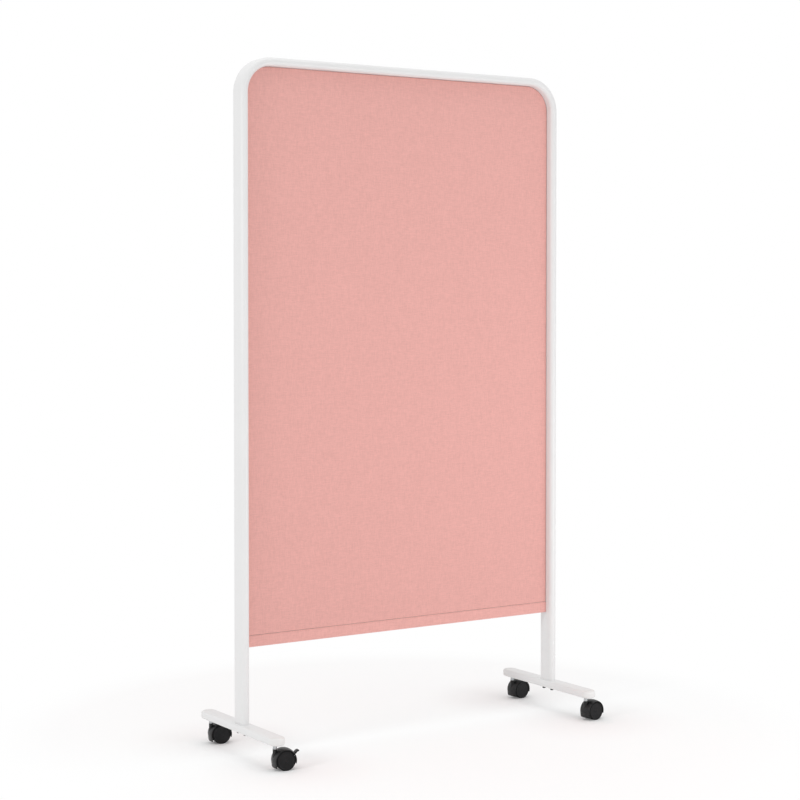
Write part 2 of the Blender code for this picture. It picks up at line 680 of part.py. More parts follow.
def housing_mesh(braked):
    web_reach = HOOD_RADIUS - HOOD_WALL / 2
    wheel_axis = (CASTOR_TRAIL, WHEEL_RADIUS)
    web_outline = arc(wheel_axis, web_reach, HOOD_REAR_ANGLE, HOOD_FRONT_ANGLE, HOOD_STEPS)
    apron = apron_step()
    web_outline.append((web_outline[-1][0] + apron.x, web_outline[-1][1] + apron.z))
    web = prism(web_outline, WEB_THICKNESS, "web")
    across = HOOD_WIDTH / 2 + CUT_OVERRUN
    axle_start = (CASTOR_TRAIL, -across, WHEEL_RADIUS)
    axle_end = (CASTOR_TRAIL, across, WHEEL_RADIUS)
    pivot_low = (0, 0, BOSS_HEIGHT - PIVOT_LENGTH)
    pivot_high = (0, 0, BOSS_HEIGHT + CUT_OVERRUN)
    tools = [
        ("UNION", web),
        ("UNION", axle_boss_mesh()),
        ("UNION", boss_mesh()),
        ("DIFFERENCE", well_mesh(-1)),
        ("DIFFERENCE", well_mesh(1)),
        ("DIFFERENCE", rod(AXLE_RADIUS + SEAT_GAP, axle_start, axle_end, "axle_bore")),
        ("DIFFERENCE", rod(PIVOT_RADIUS + RUNNING_GAP, pivot_low, pivot_high, "pivot_bore")),
    ]
    if braked:
        x, z = brake_pivot()
        pin_bore = rod(BRAKE_PIN_RADIUS + SEAT_GAP, (x, -across, z), (x, across, z), "pin_bore", PIN_STEPS)
        tools.append(("DIFFERENCE", slot_mesh()))
        tools.append(("DIFFERENCE", pin_bore))
    return shaped("housing", hood_mesh(), tools)


def lever_points(start):
    """The lever's side view past a distance from its pivot: a neck, a pedal and a drooping round tip."""
    tip_middle = (LEVER_REACH - PEDAL_TIP_RADIUS, -PEDAL_DROOP)
    tip = arc(tip_middle, PEDAL_TIP_RADIUS, -math.pi / 2, math.pi / 2, CORNER_STEPS)
    low = -PEDAL_HEIGHT / 2
    high = PEDAL_HEIGHT / 2
    points = [(PEDAL_REACH, low), *tip, (LEVER_REACH - 2 * PEDAL_HEIGHT, high), (PEDAL_REACH, high)]
    if start < PEDAL_REACH:
        eye = arc((0, 0), LEVER_EYE_RADIUS, math.pi / 2, 3 * math.pi / 2, CORNER_STEPS)
        neck = LEVER_NECK_HEIGHT / 2
        points = [(LEVER_EYE_RADIUS, neck), *eye, (LEVER_EYE_RADIUS, -neck), *points]
    turn_x = math.cos(LEVER_ANGLE)
    turn_z = math.sin(LEVER_ANGLE)
    return [(along * turn_x - up * turn_z, along * turn_z + up * turn_x) for along, up in points]


def lever_mesh():
    """The lever: a fork that straddles the web, one neck through the slot, and a wider pedal outside."""
    narrow = WEB_THICKNESS + 2 * (LEVER_ARM_THICKNESS + RUNNING_GAP)
    x = -BRAKE_PIVOT_REACH * math.cos(BRAKE_PIVOT_ANGLE)
    z = -BRAKE_PIVOT_REACH * math.sin(BRAKE_PIVOT_ANGLE)
    web_half = WEB_THICKNESS / 2 + RUNNING_GAP
    reach = slot_reach() + 2 * RUNNING_GAP
    web = rod(reach, (x, -web_half, z), (x, web_half, z), "web_room", 2 * WHEEL_STEPS)
    bore_start = (0, -PEDAL_WIDTH, 0)
    bore_end = (0, PEDAL_WIDTH, 0)
    tools = [
        ("UNION", prism(lever_points(PEDAL_REACH), PEDAL_WIDTH, "pedal")),
        ("DIFFERENCE", web),
        ("DIFFERENCE", rod(BRAKE_PIN_RADIUS + SEAT_GAP, bore_start, bore_end, "lever_bore", PIN_STEPS)),
    ]
    return shaped("brake_lever", prism(lever_points(0), narrow, "lever_body"), tools)


def brake_pin_mesh():
    end = WEB_THICKNESS / 2 + RUNNING_GAP + LEVER_ARM_THICKNESS
    return rod(BRAKE_PIN_RADIUS, (0, -end, 0), (0, end, 0), "brake_pin", PIN_STEPS)


# Assembly

def build_castor(corner, stand, shapes, post_x, end_side):
    """One castor: its stem and nut are fixed in the foot, and the rest swivels about the stem."""
    stem_place = (post_x, end_side * STEM_OFFSET, 0)
    place("stem_" + corner, shapes["stem"], "zinc", stand, stem_place)
    place("stem_nut_" + corner, shapes["nut"], "zinc", stand, stem_place)
    swivel = place_empty("swivel_" + corner, stand, stem_place, math.radians(CASTOR_HEADINGS[corner]))
    braked = corner == BRAKED_CASTOR
    place("housing_" + corner, shapes["housing_braked" if braked else "housing"], "black_nylon", swivel)
    hub = place_empty("wheel_axis_" + corner, swivel, (CASTOR_TRAIL, 0, WHEEL_RADIUS))
    place("axle_" + corner, shapes["axle"], "zinc", hub)
    for side, turn in (("near", math.pi), ("far", 0)):
        place(f"wheel_{side}_{corner}", shapes["wheel"], "black_disc", hub, turn=turn)
        place(f"tyre_{side}_{corner}", shapes["tyre"], "black_tread", hub, turn=turn)
    if braked:
        x, z = brake_pivot()
        brake_axis = place_empty("brake_axis", swivel, (x, 0, z))
        place("brake_lever", shapes["lever"], "black_nylon", brake_axis)
        place("brake_pin", shapes["brake_pin"], "zinc", brake_axis)


def build_foot(side, stand, shapes, post_x):
    """One foot with its caps, its bolts and the plug that they draw down in the post."""
    place("foot_tube_" + side, shapes["foot_tube"], "white_coat", stand, (post_x, 0, 0))
    place("post_plug_" + side, shapes["post_plug"], "zinc", stand, (post_x, 0, POST_BASE))
    for end, y, turn in (("front", -BOLT_SPACING / 2, 0), ("back", BOLT_SPACING / 2, math.pi)):
        place(f"foot_bolt_{end}_{side}", shapes["bolt"], "black_screw", stand, (post_x, y, 0))
        place(f"foot_cap_{end}_{side}", shapes["cap"], "white_plastic", stand, (post_x, 0, 0), turn)


def build_panel(stand):
    place("core_board", core_mesh(), "grey_core", stand)
    place("fabric_cover", cover_mesh(), "pink_fabric", stand)
    place("bottom_hem", hem_mesh(), "hem_fabric", stand)
    levels = ("low", "middle", "high")
    for index, (side, height) in enumerate(panel_pin_places()):
        name = f"panel_pin_{levels[index % len(levels)]}_{'left' if side < 0 else 'right'}"
        place(name, panel_pin_rod(side, height, PANEL_PIN_RADIUS, 0, name), "zinc", stand)


def main():
    clear_scene()
    stand = place_empty("stand", None, (-FOOTPRINT_SHIFT, 0, 0))
    place("frame_tube", frame_tube_mesh(), "white_coat", stand)
    build_panel(stand)
    shapes = {
        "foot_tube": foot_tube_mesh(),
        "cap": foot_cap_mesh(),
        "post_plug": post_plug_mesh(),
        "bolt": foot_bolt_mesh(),
        "stem": stem_mesh(),
        "nut": stem_nut_mesh(),
        "housing": housing_mesh(braked=False),
        "housing_braked": housing_mesh(braked=True),
        "axle": axle_mesh(),
        "wheel": wheel_mesh(),
        "tyre": tyre_mesh(),
        "lever": lever_mesh(),
        "brake_pin": brake_pin_mesh(),
    }
    for side, post_x in (("left", -POST_SPACING / 2), ("right", POST_SPACING / 2)):
        build_foot(side, stand, shapes, post_x)
        for end, end_side in (("front", -1), ("back", 1)):
            build_castor(f"{end}_{side}", stand, shapes, post_x, end_side)


main()
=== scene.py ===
import math

import bmesh
import bpy
from mathutils import Matrix, Vector


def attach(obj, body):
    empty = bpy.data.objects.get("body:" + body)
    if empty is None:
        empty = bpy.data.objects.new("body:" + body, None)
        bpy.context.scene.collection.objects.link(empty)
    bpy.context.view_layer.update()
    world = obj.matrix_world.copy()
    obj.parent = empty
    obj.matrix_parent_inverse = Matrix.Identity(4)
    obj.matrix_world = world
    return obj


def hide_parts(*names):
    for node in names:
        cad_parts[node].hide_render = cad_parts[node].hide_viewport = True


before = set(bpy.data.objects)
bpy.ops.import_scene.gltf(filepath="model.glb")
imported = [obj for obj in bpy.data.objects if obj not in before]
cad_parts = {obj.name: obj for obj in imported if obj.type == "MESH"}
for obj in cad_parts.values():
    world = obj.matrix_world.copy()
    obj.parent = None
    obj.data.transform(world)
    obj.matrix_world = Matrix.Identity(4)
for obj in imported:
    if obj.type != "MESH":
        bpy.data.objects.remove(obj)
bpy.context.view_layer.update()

# Fabric notice board: a white bent-tube frame, a pink fabric panel, two feet and four black twin-wheel castors.
# Metres, +Z up, front towards -Y. The whole board stands a little left of the origin, like its CAD model.
boardShift = -0.01575
turnQuarter = math.pi / 2
samePlace = 0.0001  # heights and widths closer than this count as one
waveShare = math.pi / 10  # a wave texture's scale for one band in each unit


# Helpers

def linearColour(code):
    # sRGB hex to linear, with alpha
    channels = [int(code[place:place + 2], 16) / 255 for place in (1, 3, 5)]
    return [c / 12.92 if c <= 0.04045 else ((c + 0.055) / 1.055) ** 2.4 for c in channels] + [1.0]


def addNode(tree, kind, settings=None, values=None):
    # a node with its settings, and its inputs as plain values or as links from other sockets
    node = tree.nodes.new(kind)
    for name, value in (settings or {}).items():
        setattr(node, name, value)
    for socket, value in (values or {}).items():
        if isinstance(value, bpy.types.NodeSocket):
            tree.links.new(value, node.inputs[socket])
        else:
            node.inputs[socket].default_value = value
    return node


def patternScale(mm):
    # how often a pattern comes in a metre, from its real size in millimetres
    return 1000 / mm


def startMaterial(name, colour, roughness, metallic=0.0, ior=1.5):
    material = bpy.data.materials.new(name)
    material.use_nodes = True
    tree = material.node_tree
    shader = tree.nodes["Principled BSDF"]
    shader.inputs["Base Color"].default_value = linearColour(colour)
    shader.inputs["Roughness"].default_value = roughness
    shader.inputs["Metallic"].default_value = metallic
    if metallic == 0.0:
        shader.inputs["IOR"].default_value = ior
    place = addNode(tree, "ShaderNodeTexCoord")
    return material, tree, shader, place.outputs["Object"]


def moved(bm, matrix, verts=None):
    bmesh.ops.transform(bm, matrix=matrix, verts=verts or bm.verts)


def roundedFace(bm, width, depth, radius, segments):
    # one flat face in X and Y with round corners
    corners = bmesh.ops.create_grid(bm, x_segments=1, y_segments=1, size=0.5)["verts"]
    bmesh.ops.scale(bm, verts=corners, vec=(width, depth, 1))
    if radius > 0:
        bmesh.ops.bevel(bm, geom=corners, offset=radius, offset_type="OFFSET", segments=segments,
                        profile=0.5, affect="VERTICES", material=-1)
    return bm.faces[:]


def ovalRing(bm, width, depth, segments=64):
    # flat oval in X and Y: a circle turned half a step, its two halves moved apart along Y
    ring = bmesh.ops.create_circle(bm, cap_ends=False, segments=segments, radius=width / 2)["verts"]
    bmesh.ops.rotate(bm, verts=ring, cent=(0, 0, 0), matrix=Matrix.Rotation(math.pi / segments, 3, "Z"))
    shift = (depth - width) / 2
    bmesh.ops.translate(bm, verts=[v for v in ring if v.co.y > 0], vec=(0, shift, 0))
    bmesh.ops.translate(bm, verts=[v for v in ring if v.co.y < 0], vec=(0, -shift, 0))
    return ring + list({edge for vert in ring for edge in vert.link_edges})


def vertsOf(geom):
    return [g for g in geom if isinstance(g, bmesh.types.BMVert)]


def pushOn(bm, geom, step):
    # extrudes open edges by a step and gives back the new end
    edges = [g for g in geom if isinstance(g, bmesh.types.BMEdge)]
    grown = bmesh.ops.extrude_edge_only(bm, edges=edges)["geom"]
    ends = [g for g in grown if not isinstance(g, bmesh.types.BMFace)]
    bmesh.ops.translate(bm, verts=vertsOf(ends), vec=step)
    return ends


def closeHoles(bm):
    bmesh.ops.holes_fill(bm, edges=[edge for edge in bm.edges if len(edge.link_faces) == 1], sides=0)


def turnedProfile(points, steps=48):
    # points are radius and height along Z, joined in turn and spun once round Z
    bm = bmesh.new()
    verts = [bm.verts.new((radius, 0, height)) for radius, height in points]
    edges = [bm.edges.new(pair) for pair in zip(verts, verts[1:])]
    bmesh.ops.spin(bm, geom=verts + edges, cent=(0, 0, 0), axis=(0, 0, 1), dvec=(0, 0, 0),
                   angle=2 * math.pi, steps=steps, use_merge=True)
    bmesh.ops.remove_doubles(bm, verts=bm.verts, dist=0.00001)
    return bm


def softenEdges(bm, width, sharperThan):
    # rounds every edge that turns more than an angle in degrees
    limit = math.radians(sharperThan)
    edges = [edge for edge in bm.edges if len(edge.link_faces) == 2 and edge.calc_face_angle() > limit]
    bmesh.ops.bevel(bm, geom=edges, offset=width, offset_type="OFFSET", segments=2,
                    profile=0.5, affect="EDGES", material=-1, clamp_overlap=True)


def joinedTo(bm, other):
    # adds a second bmesh to the first
    mesh = bpy.data.meshes.new("joining")
    other.to_mesh(mesh)
    other.free()
    bm.from_mesh(mesh)
    bpy.data.meshes.remove(mesh)


def cutAway(bm, tool):
    # the first bmesh with the second one's shape cut out of it
    meshes = []
    objects = []
    for label, shape in (("kept", bm), ("tool", tool)):
        bmesh.ops.recalc_face_normals(shape, faces=shape.faces)
        mesh = bpy.data.meshes.new(label)
        shape.to_mesh(mesh)
        shape.free()
        item = bpy.data.objects.new(label, mesh)
        bpy.context.scene.collection.objects.link(item)
        meshes.append(mesh)
        objects.append(item)
    cut = objects[0].modifiers.new("cut", "BOOLEAN")
    cut.operation = "DIFFERENCE"
    cut.solver = "EXACT"
    cut.object = objects[1]
    done = objects[0].evaluated_get(bpy.context.evaluated_depsgraph_get())
    result = bmesh.new()
    result.from_mesh(done.to_mesh())
    done.to_mesh_clear()
    for item in objects:
        bpy.data.objects.remove(item, do_unlink=True)
    for mesh in meshes:
        bpy.data.meshes.remove(mesh)
    return result


def makePiece(name, bm, material, body, stands=(), sharp=38, recalc=True):
    bmesh.ops.remove_doubles(bm, verts=bm.verts, dist=0.000002)
    if recalc:
        bmesh.ops.recalc_face_normals(bm, faces=bm.faces)
    mesh = bpy.data.meshes.new(name)
    bm.to_mesh(mesh)
    bm.free()
    mesh.shade_smooth()
    mesh.set_sharp_from_angle(angle=math.radians(sharp))
    mesh.materials.append(material)
    piece = bpy.data.objects.new(name, mesh)
    bpy.context.scene.collection.objects.link(piece)
    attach(piece, body)
    if stands:
        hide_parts(*stands)
    return piece


# Materials

def powderCoat():
    # Polyester powder coat on steel tube, baked: satin, with the fine orange peel of sprayed powder.
    # The peel is at its real size; the powder's own grain is drawn coarser, so that it shows.
    material, tree, shader, place = startMaterial("white powder coat", "#DFDFDF", 0.36)
    peel = addNode(tree, "ShaderNodeTexNoise",
                   values={"Vector": place, "Scale": patternScale(2.38), "Detail": 2, "Roughness": 0.4})
    grain = addNode(tree, "ShaderNodeTexNoise",
                    values={"Vector": place, "Scale": patternScale(0.667), "Detail": 1})
    both = addNode(tree, "ShaderNodeMath", {"operation": "MULTIPLY_ADD"},
                   {0: grain.outputs["Fac"], 1: 0.3, 2: peel.outputs["Fac"]})
    relief = addNode(tree, "ShaderNodeBump",
                     values={"Height": both.outputs[0], "Strength": 0.10, "Distance": 0.0002})
    wear = addNode(tree, "ShaderNodeTexNoise",
                   values={"Vector": place, "Scale": patternScale(111), "Detail": 4, "Roughness": 0.6})
    gloss = addNode(tree, "ShaderNodeMapRange",
                    values={"Value": wear.outputs["Fac"], "From Min": 0.3, "From Max": 0.7,
                            "To Min": 0.33, "To Max": 0.42})
    tint = addNode(tree, "ShaderNodeMix", {"data_type": "RGBA"},
                   {"Factor": wear.outputs["Fac"], 6: linearColour("#DFDFDF"), 7: linearColour("#E4E4E4")})
    tree.links.new(relief.outputs["Normal"], shader.inputs["Normal"])
    tree.links.new(gloss.outputs["Result"], shader.inputs["Roughness"])
    tree.links.new(tint.outputs[2], shader.inputs["Base Color"])
    return material


def mouldedWhite():
    # Injection-moulded polypropylene: the foot caps, a touch warmer than the coat, with a fine
    # spark-eroded grain, drawn coarser than the real 0.1 mm so that it shows
    material, tree, shader, place = startMaterial("white moulded polypropylene", "#DFDFDE", 0.46, ior=1.49)
    grain = addNode(tree, "ShaderNodeTexVoronoi",
                    {"feature": "F1"}, {"Vector": place, "Scale": patternScale(0.455)})
    relief = addNode(tree, "ShaderNodeBump",
                     values={"Height": grain.outputs["Distance"], "Strength": 0.12, "Distance": 0.0001})
    flow = addNode(tree, "ShaderNodeTexNoise",
                   values={"Vector": place, "Scale": patternScale(28.6), "Detail": 3})
    tint = addNode(tree, "ShaderNodeMix", {"data_type": "RGBA"},
                   {"Factor": flow.outputs["Fac"], 6: linearColour("#DFDFDE"), 7: linearColour("#E4E4E3")})
    gloss = addNode(tree, "ShaderNodeMapRange",
                    values={"Value": flow.outputs["Fac"], "From Min": 0.3, "From Max": 0.7,
                            "To Min": 0.42, "To Max": 0.52})
    tree.links.new(relief.outputs["Normal"], shader.inputs["Normal"])
    tree.links.new(tint.outputs[2], shader.inputs["Base Color"])
    tree.links.new(gloss.outputs["Result"], shader.inputs["Roughness"])
    return material


def heatheredCloth(name, light, dark, threadMm, sheen):
    # Plain-woven polyester in melange yarn: each yarn changes shade along its length, and the
    # crossings alternate, so the eye sees a soft grain of short dashes. The real yarns lie about
    # 0.6 mm apart; they are drawn at threadMm so that the grain still shows in the picture.
    material, tree, shader, place = startMaterial(name, light, 0.92, ior=1.46)
    pitch = patternScale(threadMm)
    parts = addNode(tree, "ShaderNodeSeparateXYZ", values={0: place})
    across = addNode(tree, "ShaderNodeMath",
                     {"operation": "ADD"}, {0: parts.outputs["X"], 1: parts.outputs["Y"]})
    upward = addNode(tree, "ShaderNodeMath",
                     {"operation": "ADD"}, {0: parts.outputs["Z"], 1: parts.outputs["Y"]})
    waves = []
    for source in (across, upward):
        phase = addNode(tree, "ShaderNodeMath",
                        {"operation": "MULTIPLY"}, {0: source.outputs[0], 1: pitch * math.pi})
        waves.append(addNode(tree, "ShaderNodeMath", {"operation": "SINE"}, {0: phase.outputs[0]}))
    crossing = addNode(tree, "ShaderNodeMath",
                       {"operation": "MULTIPLY"}, {0: waves[0].outputs[0], 1: waves[1].outputs[0]})
    crown = addNode(tree, "ShaderNodeMath", {"operation": "ABSOLUTE"}, {0: crossing.outputs[0]})
    side = addNode(tree, "ShaderNodeMath", {"operation": "MULTIPLY_ADD", "use_clamp": True},
                   {0: crossing.outputs[0], 1: 4.0, 2: 0.5})
    # warp yarns run up and change shade slowly in Z, weft yarns run across and change slowly in X
    shades = []
    for stretch in ((pitch * 0.9, pitch * 0.9, pitch * 0.10), (pitch * 0.10, pitch * 0.9, pitch * 0.9)):
        laid = addNode(tree, "ShaderNodeMapping", values={"Vector": place, "Scale": stretch})
        shades.append(addNode(tree, "ShaderNodeTexNoise",
                              values={"Vector": laid.outputs[0], "Scale": 1.0, "Detail": 2, "Roughness": 0.55}))
    yarn = addNode(tree, "ShaderNodeMix", {"data_type": "FLOAT"},
                   {"Factor": side.outputs[0], 2: shades[0].outputs["Fac"], 3: shades[1].outputs["Fac"]})
    spread = addNode(tree, "ShaderNodeMapRange",
                     values={"Value": yarn.outputs[0], "From Min": 0.34, "From Max": 0.66,
                             "To Min": 0.0, "To Max": 1.0})
    melange = addNode(tree, "ShaderNodeMix", {"data_type": "RGBA"},
                      {"Factor": spread.outputs["Result"], 6: linearColour(dark), 7: linearColour(light)})
    # the gaps between the yarns are painted darker: painted shade in the hollows between them
    gap = addNode(tree, "ShaderNodeMapRange",
                  values={"Value": crown.outputs[0], "From Min": 0.0, "From Max": 0.35,
                          "To Min": 0.95, "To Max": 1.0})
    shaded = addNode(tree, "ShaderNodeVectorMath", {"operation": "SCALE"},
                     {0: melange.outputs[2], "Scale": gap.outputs["Result"]})
    fuzz = addNode(tree, "ShaderNodeTexNoise",
                   values={"Vector": place, "Scale": patternScale(0.3125), "Detail": 2})
    height = addNode(tree, "ShaderNodeMath", {"operation": "MULTIPLY_ADD"},
                     {0: fuzz.outputs["Fac"], 1: 0.35, 2: crown.outputs[0]})
    relief = addNode(tree, "ShaderNodeBump",
                     values={"Height": height.outputs[0], "Strength": 0.55, "Distance": 0.00035})
    tree.links.new(shaded.outputs[0], shader.inputs["Base Color"])
    tree.links.new(relief.outputs["Normal"], shader.inputs["Normal"])
    shader.inputs["Sheen Weight"].default_value = sheen
    shader.inputs["Sheen Roughness"].default_value = 0.5
    shader.inputs["Specular IOR Level"].default_value = 0.2
    return material


def sewingThread():
    # Polyester sewing thread, two plies with 0.35 mm to a twist, a shade deeper than the cloth
    material, tree, shader, place = startMaterial("pink polyester thread", "#CF948E", 0.6, ior=1.46)
    twist = addNode(tree, "ShaderNodeTexWave", {"wave_type": "BANDS", "bands_direction": "DIAGONAL"},
                    {"Vector": place, "Scale": patternScale(0.349) * waveShare, "Distortion": 0.4})
    # the grooves between the plies are painted darker along the twist: painted shade
    tint = addNode(tree, "ShaderNodeMix", {"data_type": "RGBA"},
                   {"Factor": twist.outputs["Fac"], 6: linearColour("#B87F7A"), 7: linearColour("#D79C96")})
    relief = addNode(tree, "ShaderNodeBump",
                     values={"Height": twist.outputs["Fac"], "Strength": 0.4, "Distance": 0.0001})
    tree.links.new(tint.outputs[2], shader.inputs["Base Color"])
    tree.links.new(relief.outputs["Normal"], shader.inputs["Normal"])
    return material


def zincPlate():
    # Bright zinc on turned steel: cool grey, with lathe lines 0.29 mm apart and faint patches of passivation
    material, tree, shader, place = startMaterial("zinc-plated steel", "#BFC3C6", 0.3, metallic=1.0)
    patches = addNode(tree, "ShaderNodeTexNoise",
                      values={"Vector": place, "Scale": patternScale(6.25), "Detail": 4, "Roughness": 0.6})
    tint = addNode(tree, "ShaderNodeMix", {"data_type": "RGBA"},
                   {"Factor": patches.outputs["Fac"], 6: linearColour("#AEB3B8"), 7: linearColour("#CCCECD")})
    gloss = addNode(tree, "ShaderNodeMapRange",
                    values={"Value": patches.outputs["Fac"], "From Min": 0.3, "From Max": 0.7,
                            "To Min": 0.24, "To Max": 0.38})
    lathe = addNode(tree, "ShaderNodeTexWave", {"wave_type": "BANDS", "bands_direction": "Z"},
                    {"Vector": place, "Scale": patternScale(0.286) * waveShare, "Distortion": 0.2})
    relief = addNode(tree, "ShaderNodeBump",
                     values={"Height": lathe.outputs["Fac"], "Strength": 0.08, "Distance": 0.00005})
    tree.links.new(tint.outputs[2], shader.inputs["Base Color"])
    tree.links.new(gloss.outputs["Result"], shader.inputs["Roughness"])
    tree.links.new(relief.outputs["Normal"], shader.inputs["Normal"])
    return material


def blackenedSteel():
    # Black-oxide screw steel: near black, oiled, with a soft metallic gleam
    material, tree, shader, place = startMaterial("black-oxide screw steel", "#3A3B3D", 0.38, metallic=1.0)
    oil = addNode(tree, "ShaderNodeTexNoise",
                  values={"Vector": place, "Scale": patternScale(3.33), "Detail": 3})
    gloss = addNode(tree, "ShaderNodeMapRange",
                    values={"Value": oil.outputs["Fac"], "From Min": 0.3, "From Max": 0.7,
                            "To Min": 0.3, "To Max": 0.48})
    tint = addNode(tree, "ShaderNodeMix", {"data_type": "RGBA"},
                   {"Factor": oil.outputs["Fac"], 6: linearColour("#303133"), 7: linearColour("#46474A")})
    tree.links.new(gloss.outputs["Result"], shader.inputs["Roughness"])
    tree.links.new(tint.outputs[2], shader.inputs["Base Color"])
    return material


def blackMoulding(name, dark, light, roughness, grainMm, relief, sheen):
    # Injection-moulded black plastic: an even satin with a fine eroded grain and faint grey scuffs.
    # The real grain is about 0.1 mm; it is drawn at grainMm so that it shows.
    material, tree, shader, place = startMaterial(name, dark, roughness, ior=1.53)
    grain = addNode(tree, "ShaderNodeTexVoronoi",
                    {"feature": "SMOOTH_F1"}, {"Vector": place, "Scale": patternScale(grainMm)})
    bump = addNode(tree, "ShaderNodeBump",
                   values={"Height": grain.outputs["Distance"], "Strength": relief, "Distance": 0.0001})
    scuffs = addNode(tree, "ShaderNodeTexNoise",
                     values={"Vector": place, "Scale": patternScale(7.14), "Detail": 5, "Roughness": 0.65})
    marks = addNode(tree, "ShaderNodeMapRange",
                    values={"Value": scuffs.outputs["Fac"], "From Min": 0.42, "From Max": 0.75,
                            "To Min": 0.0, "To Max": 1.0})
    tint = addNode(tree, "ShaderNodeMix", {"data_type": "RGBA"},
                   {"Factor": marks.outputs["Result"], 6: linearColour(dark), 7: linearColour(light)})
    gloss = addNode(tree, "ShaderNodeMapRange",
                    values={"Value": scuffs.outputs["Fac"], "From Min": 0.3, "From Max": 0.7,
                            "To Min": roughness - 0.05, "To Max": roughness + 0.08})
    tree.links.new(bump.outputs["Normal"], shader.inputs["Normal"])
    tree.links.new(tint.outputs[2], shader.inputs["Base Color"])
    tree.links.new(gloss.outputs["Result"], shader.inputs["Roughness"])
    # the eroded grain swallows much of the sheen
    shader.inputs["Specular IOR Level"].default_value = sheen
    return material


def softBoard():
    # Pressed wood-fibre pin board inside the cloth: matt grey-brown with loose fibres
    material, tree, shader, place = startMaterial("wood-fibre pin board", "#B3AFA6", 0.95, ior=1.4)
    fibres = addNode(tree, "ShaderNodeTexNoise",
                     values={"Vector": place, "Scale": patternScale(1.67), "Detail": 6, "Roughness": 0.7})
    tint = addNode(tree, "ShaderNodeMix", {"data_type": "RGBA"},
                   {"Factor": fibres.outputs["Fac"], 6: linearColour("#989389"), 7: linearColour("#C4C0B7")})
    relief = addNode(tree, "ShaderNodeBump",
                     values={"Height": fibres.outputs["Fac"], "Strength": 0.5, "Distance": 0.0004})
    tree.links.new(tint.outputs[2], shader.inputs["Base Color"])
    tree.links.new(relief.outputs["Normal"], shader.inputs["Normal"])
    return material


whiteCoat = powderCoat()
whiteCap = mouldedWhite()
pinkCloth = heatheredCloth("dusty pink melange cloth", "#EEB3AC", "#DEA59E", 1.5, 0.15)
hemCloth = heatheredCloth("dusty pink hem band", "#EDB2AB", "#DDA49D", 1.5, 0.15)
seamThread = sewingThread()
zinc = zincPlate()
screwSteel = blackenedSteel()
hoodNylon = blackMoulding("black moulded nylon", "#121213", "#1C1C1E", 0.36, 0.5, 0.10, 0.30)
discNylon = blackMoulding("black smooth nylon disc", "#141415", "#1D1D1F", 0.36, 0.9, 0.04, 0.18)
treadNylon = blackMoulding("black polyurethane tread", "#0E0E0F", "#1E1E1F", 0.58, 0.7, 0.16, 0.15)
coreBoard = softBoard()
print("materials ready")


# Frame tube: one flat-oval tube bent twice into an inverted U

tubeSizes = {"width": 0.022, "depth": 0.054, "postSpacing": 1.000, "height": 1.800, "base": 0.0860,
             "bendRadius": 0.081, "bendSteps": 28}


def buildTube(sizes):
    bm = bmesh.new()
    post = sizes["postSpacing"] / 2
    bend = sizes["bendRadius"]
    bendHeight = sizes["height"] - sizes["width"] / 2 - bend
    ring = ovalRing(bm, sizes["width"], sizes["depth"])
    moved(bm, Matrix.Translation((-post, 0, sizes["base"])))
    ring = pushOn(bm, ring, (0, 0, bendHeight - sizes["base"]))
    ring = bmesh.ops.spin(bm, geom=ring, cent=(bend - post, 0, bendHeight), axis=(0, 1, 0), dvec=(0, 0, 0),
                          angle=turnQuarter, steps=sizes["bendSteps"])["geom_last"]
    ring = pushOn(bm, ring, (2 * (post - bend), 0, 0))
    ring = bmesh.ops.spin(bm, geom=ring, cent=(post - bend, 0, bendHeight), axis=(0, 1, 0), dvec=(0, 0, 0),
                          angle=turnQuarter, steps=sizes["bendSteps"])["geom_last"]
    pushOn(bm, ring, (0, 0, sizes["base"] - bendHeight))
    closeHoles(bm)
    moved(bm, Matrix.Translation((boardShift, 0, 0)))
    return makePiece("bent_tube", bm, whiteCoat, "stand", ["frame_tube"], sharp=50)


buildTube(tubeSizes)
print("frame tube ready")


# Panel: a fibre board in a stretched cloth sleeve, closed along its lower edge by a folded band

panelSizes = {"halfWidth": 0.4887, "top": 1.7777, "bottom": 0.3126, "cornerRadius": 0.0697, "thickness": 0.0080,
              "cloth": 0.0010, "edgeRound": 0.0022, "border": 0.002, "lip": -0.0008, "lipDepth": 0.0006}
hemSizes = {"bottom": 0.281, "top": 0.3103, "thickness": 0.0086, "cloth": 0.0013, "edgeRound": 0.0028,
            "lip": 0.0008, "lipDepth": 0.0006}
stitchSizes = {"length": 0.0026, "pitch": 0.0034, "radius": 0.00028, "belowTop": 0.0016, "endGap": 0.004,
               "straightShare": 0.6, "tipShare": 0.45}


def uprightSlab(halfWidth, bottom, top, thickness, cornerRadius=0.0):
    # a flat slab standing in X and Z, with round upper corners
    bm = bmesh.new()
    roundedFace(bm, 2 * halfWidth, top - bottom, 0, 1)
    if cornerRadius:
        upper = [v for v in bm.verts if v.co.y > 0]
        bmesh.ops.bevel(bm, geom=upper, offset=cornerRadius, offset_type="OFFSET", segments=20,
                        profile=0.5, affect="VERTICES", material=-1)
    moved(bm, Matrix.Translation((0, thickness / 2, (top + bottom) / 2)) @ Matrix.Rotation(turnQuarter, 4, "X"))
    grown = bmesh.ops.extrude_face_region(bm, geom=bm.faces[:])["geom"]
    bmesh.ops.translate(bm, verts=vertsOf(grown), vec=(0, -thickness, 0))
    bmesh.ops.recalc_face_normals(bm, faces=bm.faces)
    return bm


def holdFlat(bm, inset):
    # a narrow border on each big face keeps its shading flat to the edge
    for face in [f for f in bm.faces if abs(f.normal.y) > 0.99]:
        bmesh.ops.inset_region(bm, faces=[face], thickness=inset, use_even_offset=True)


def turnIn(bm, level, sizes):
    # the cloth's edge at the seam, folded on a little and in towards the board
    edges = [edge for edge in bm.edges if all(abs(v.co.z - level) < samePlace for v in edge.verts)]
    for vert in vertsOf(pushOn(bm, edges, (0, 0, sizes["lip"]))):
        vert.co.y -= math.copysign(sizes["lipDepth"], vert.co.y)


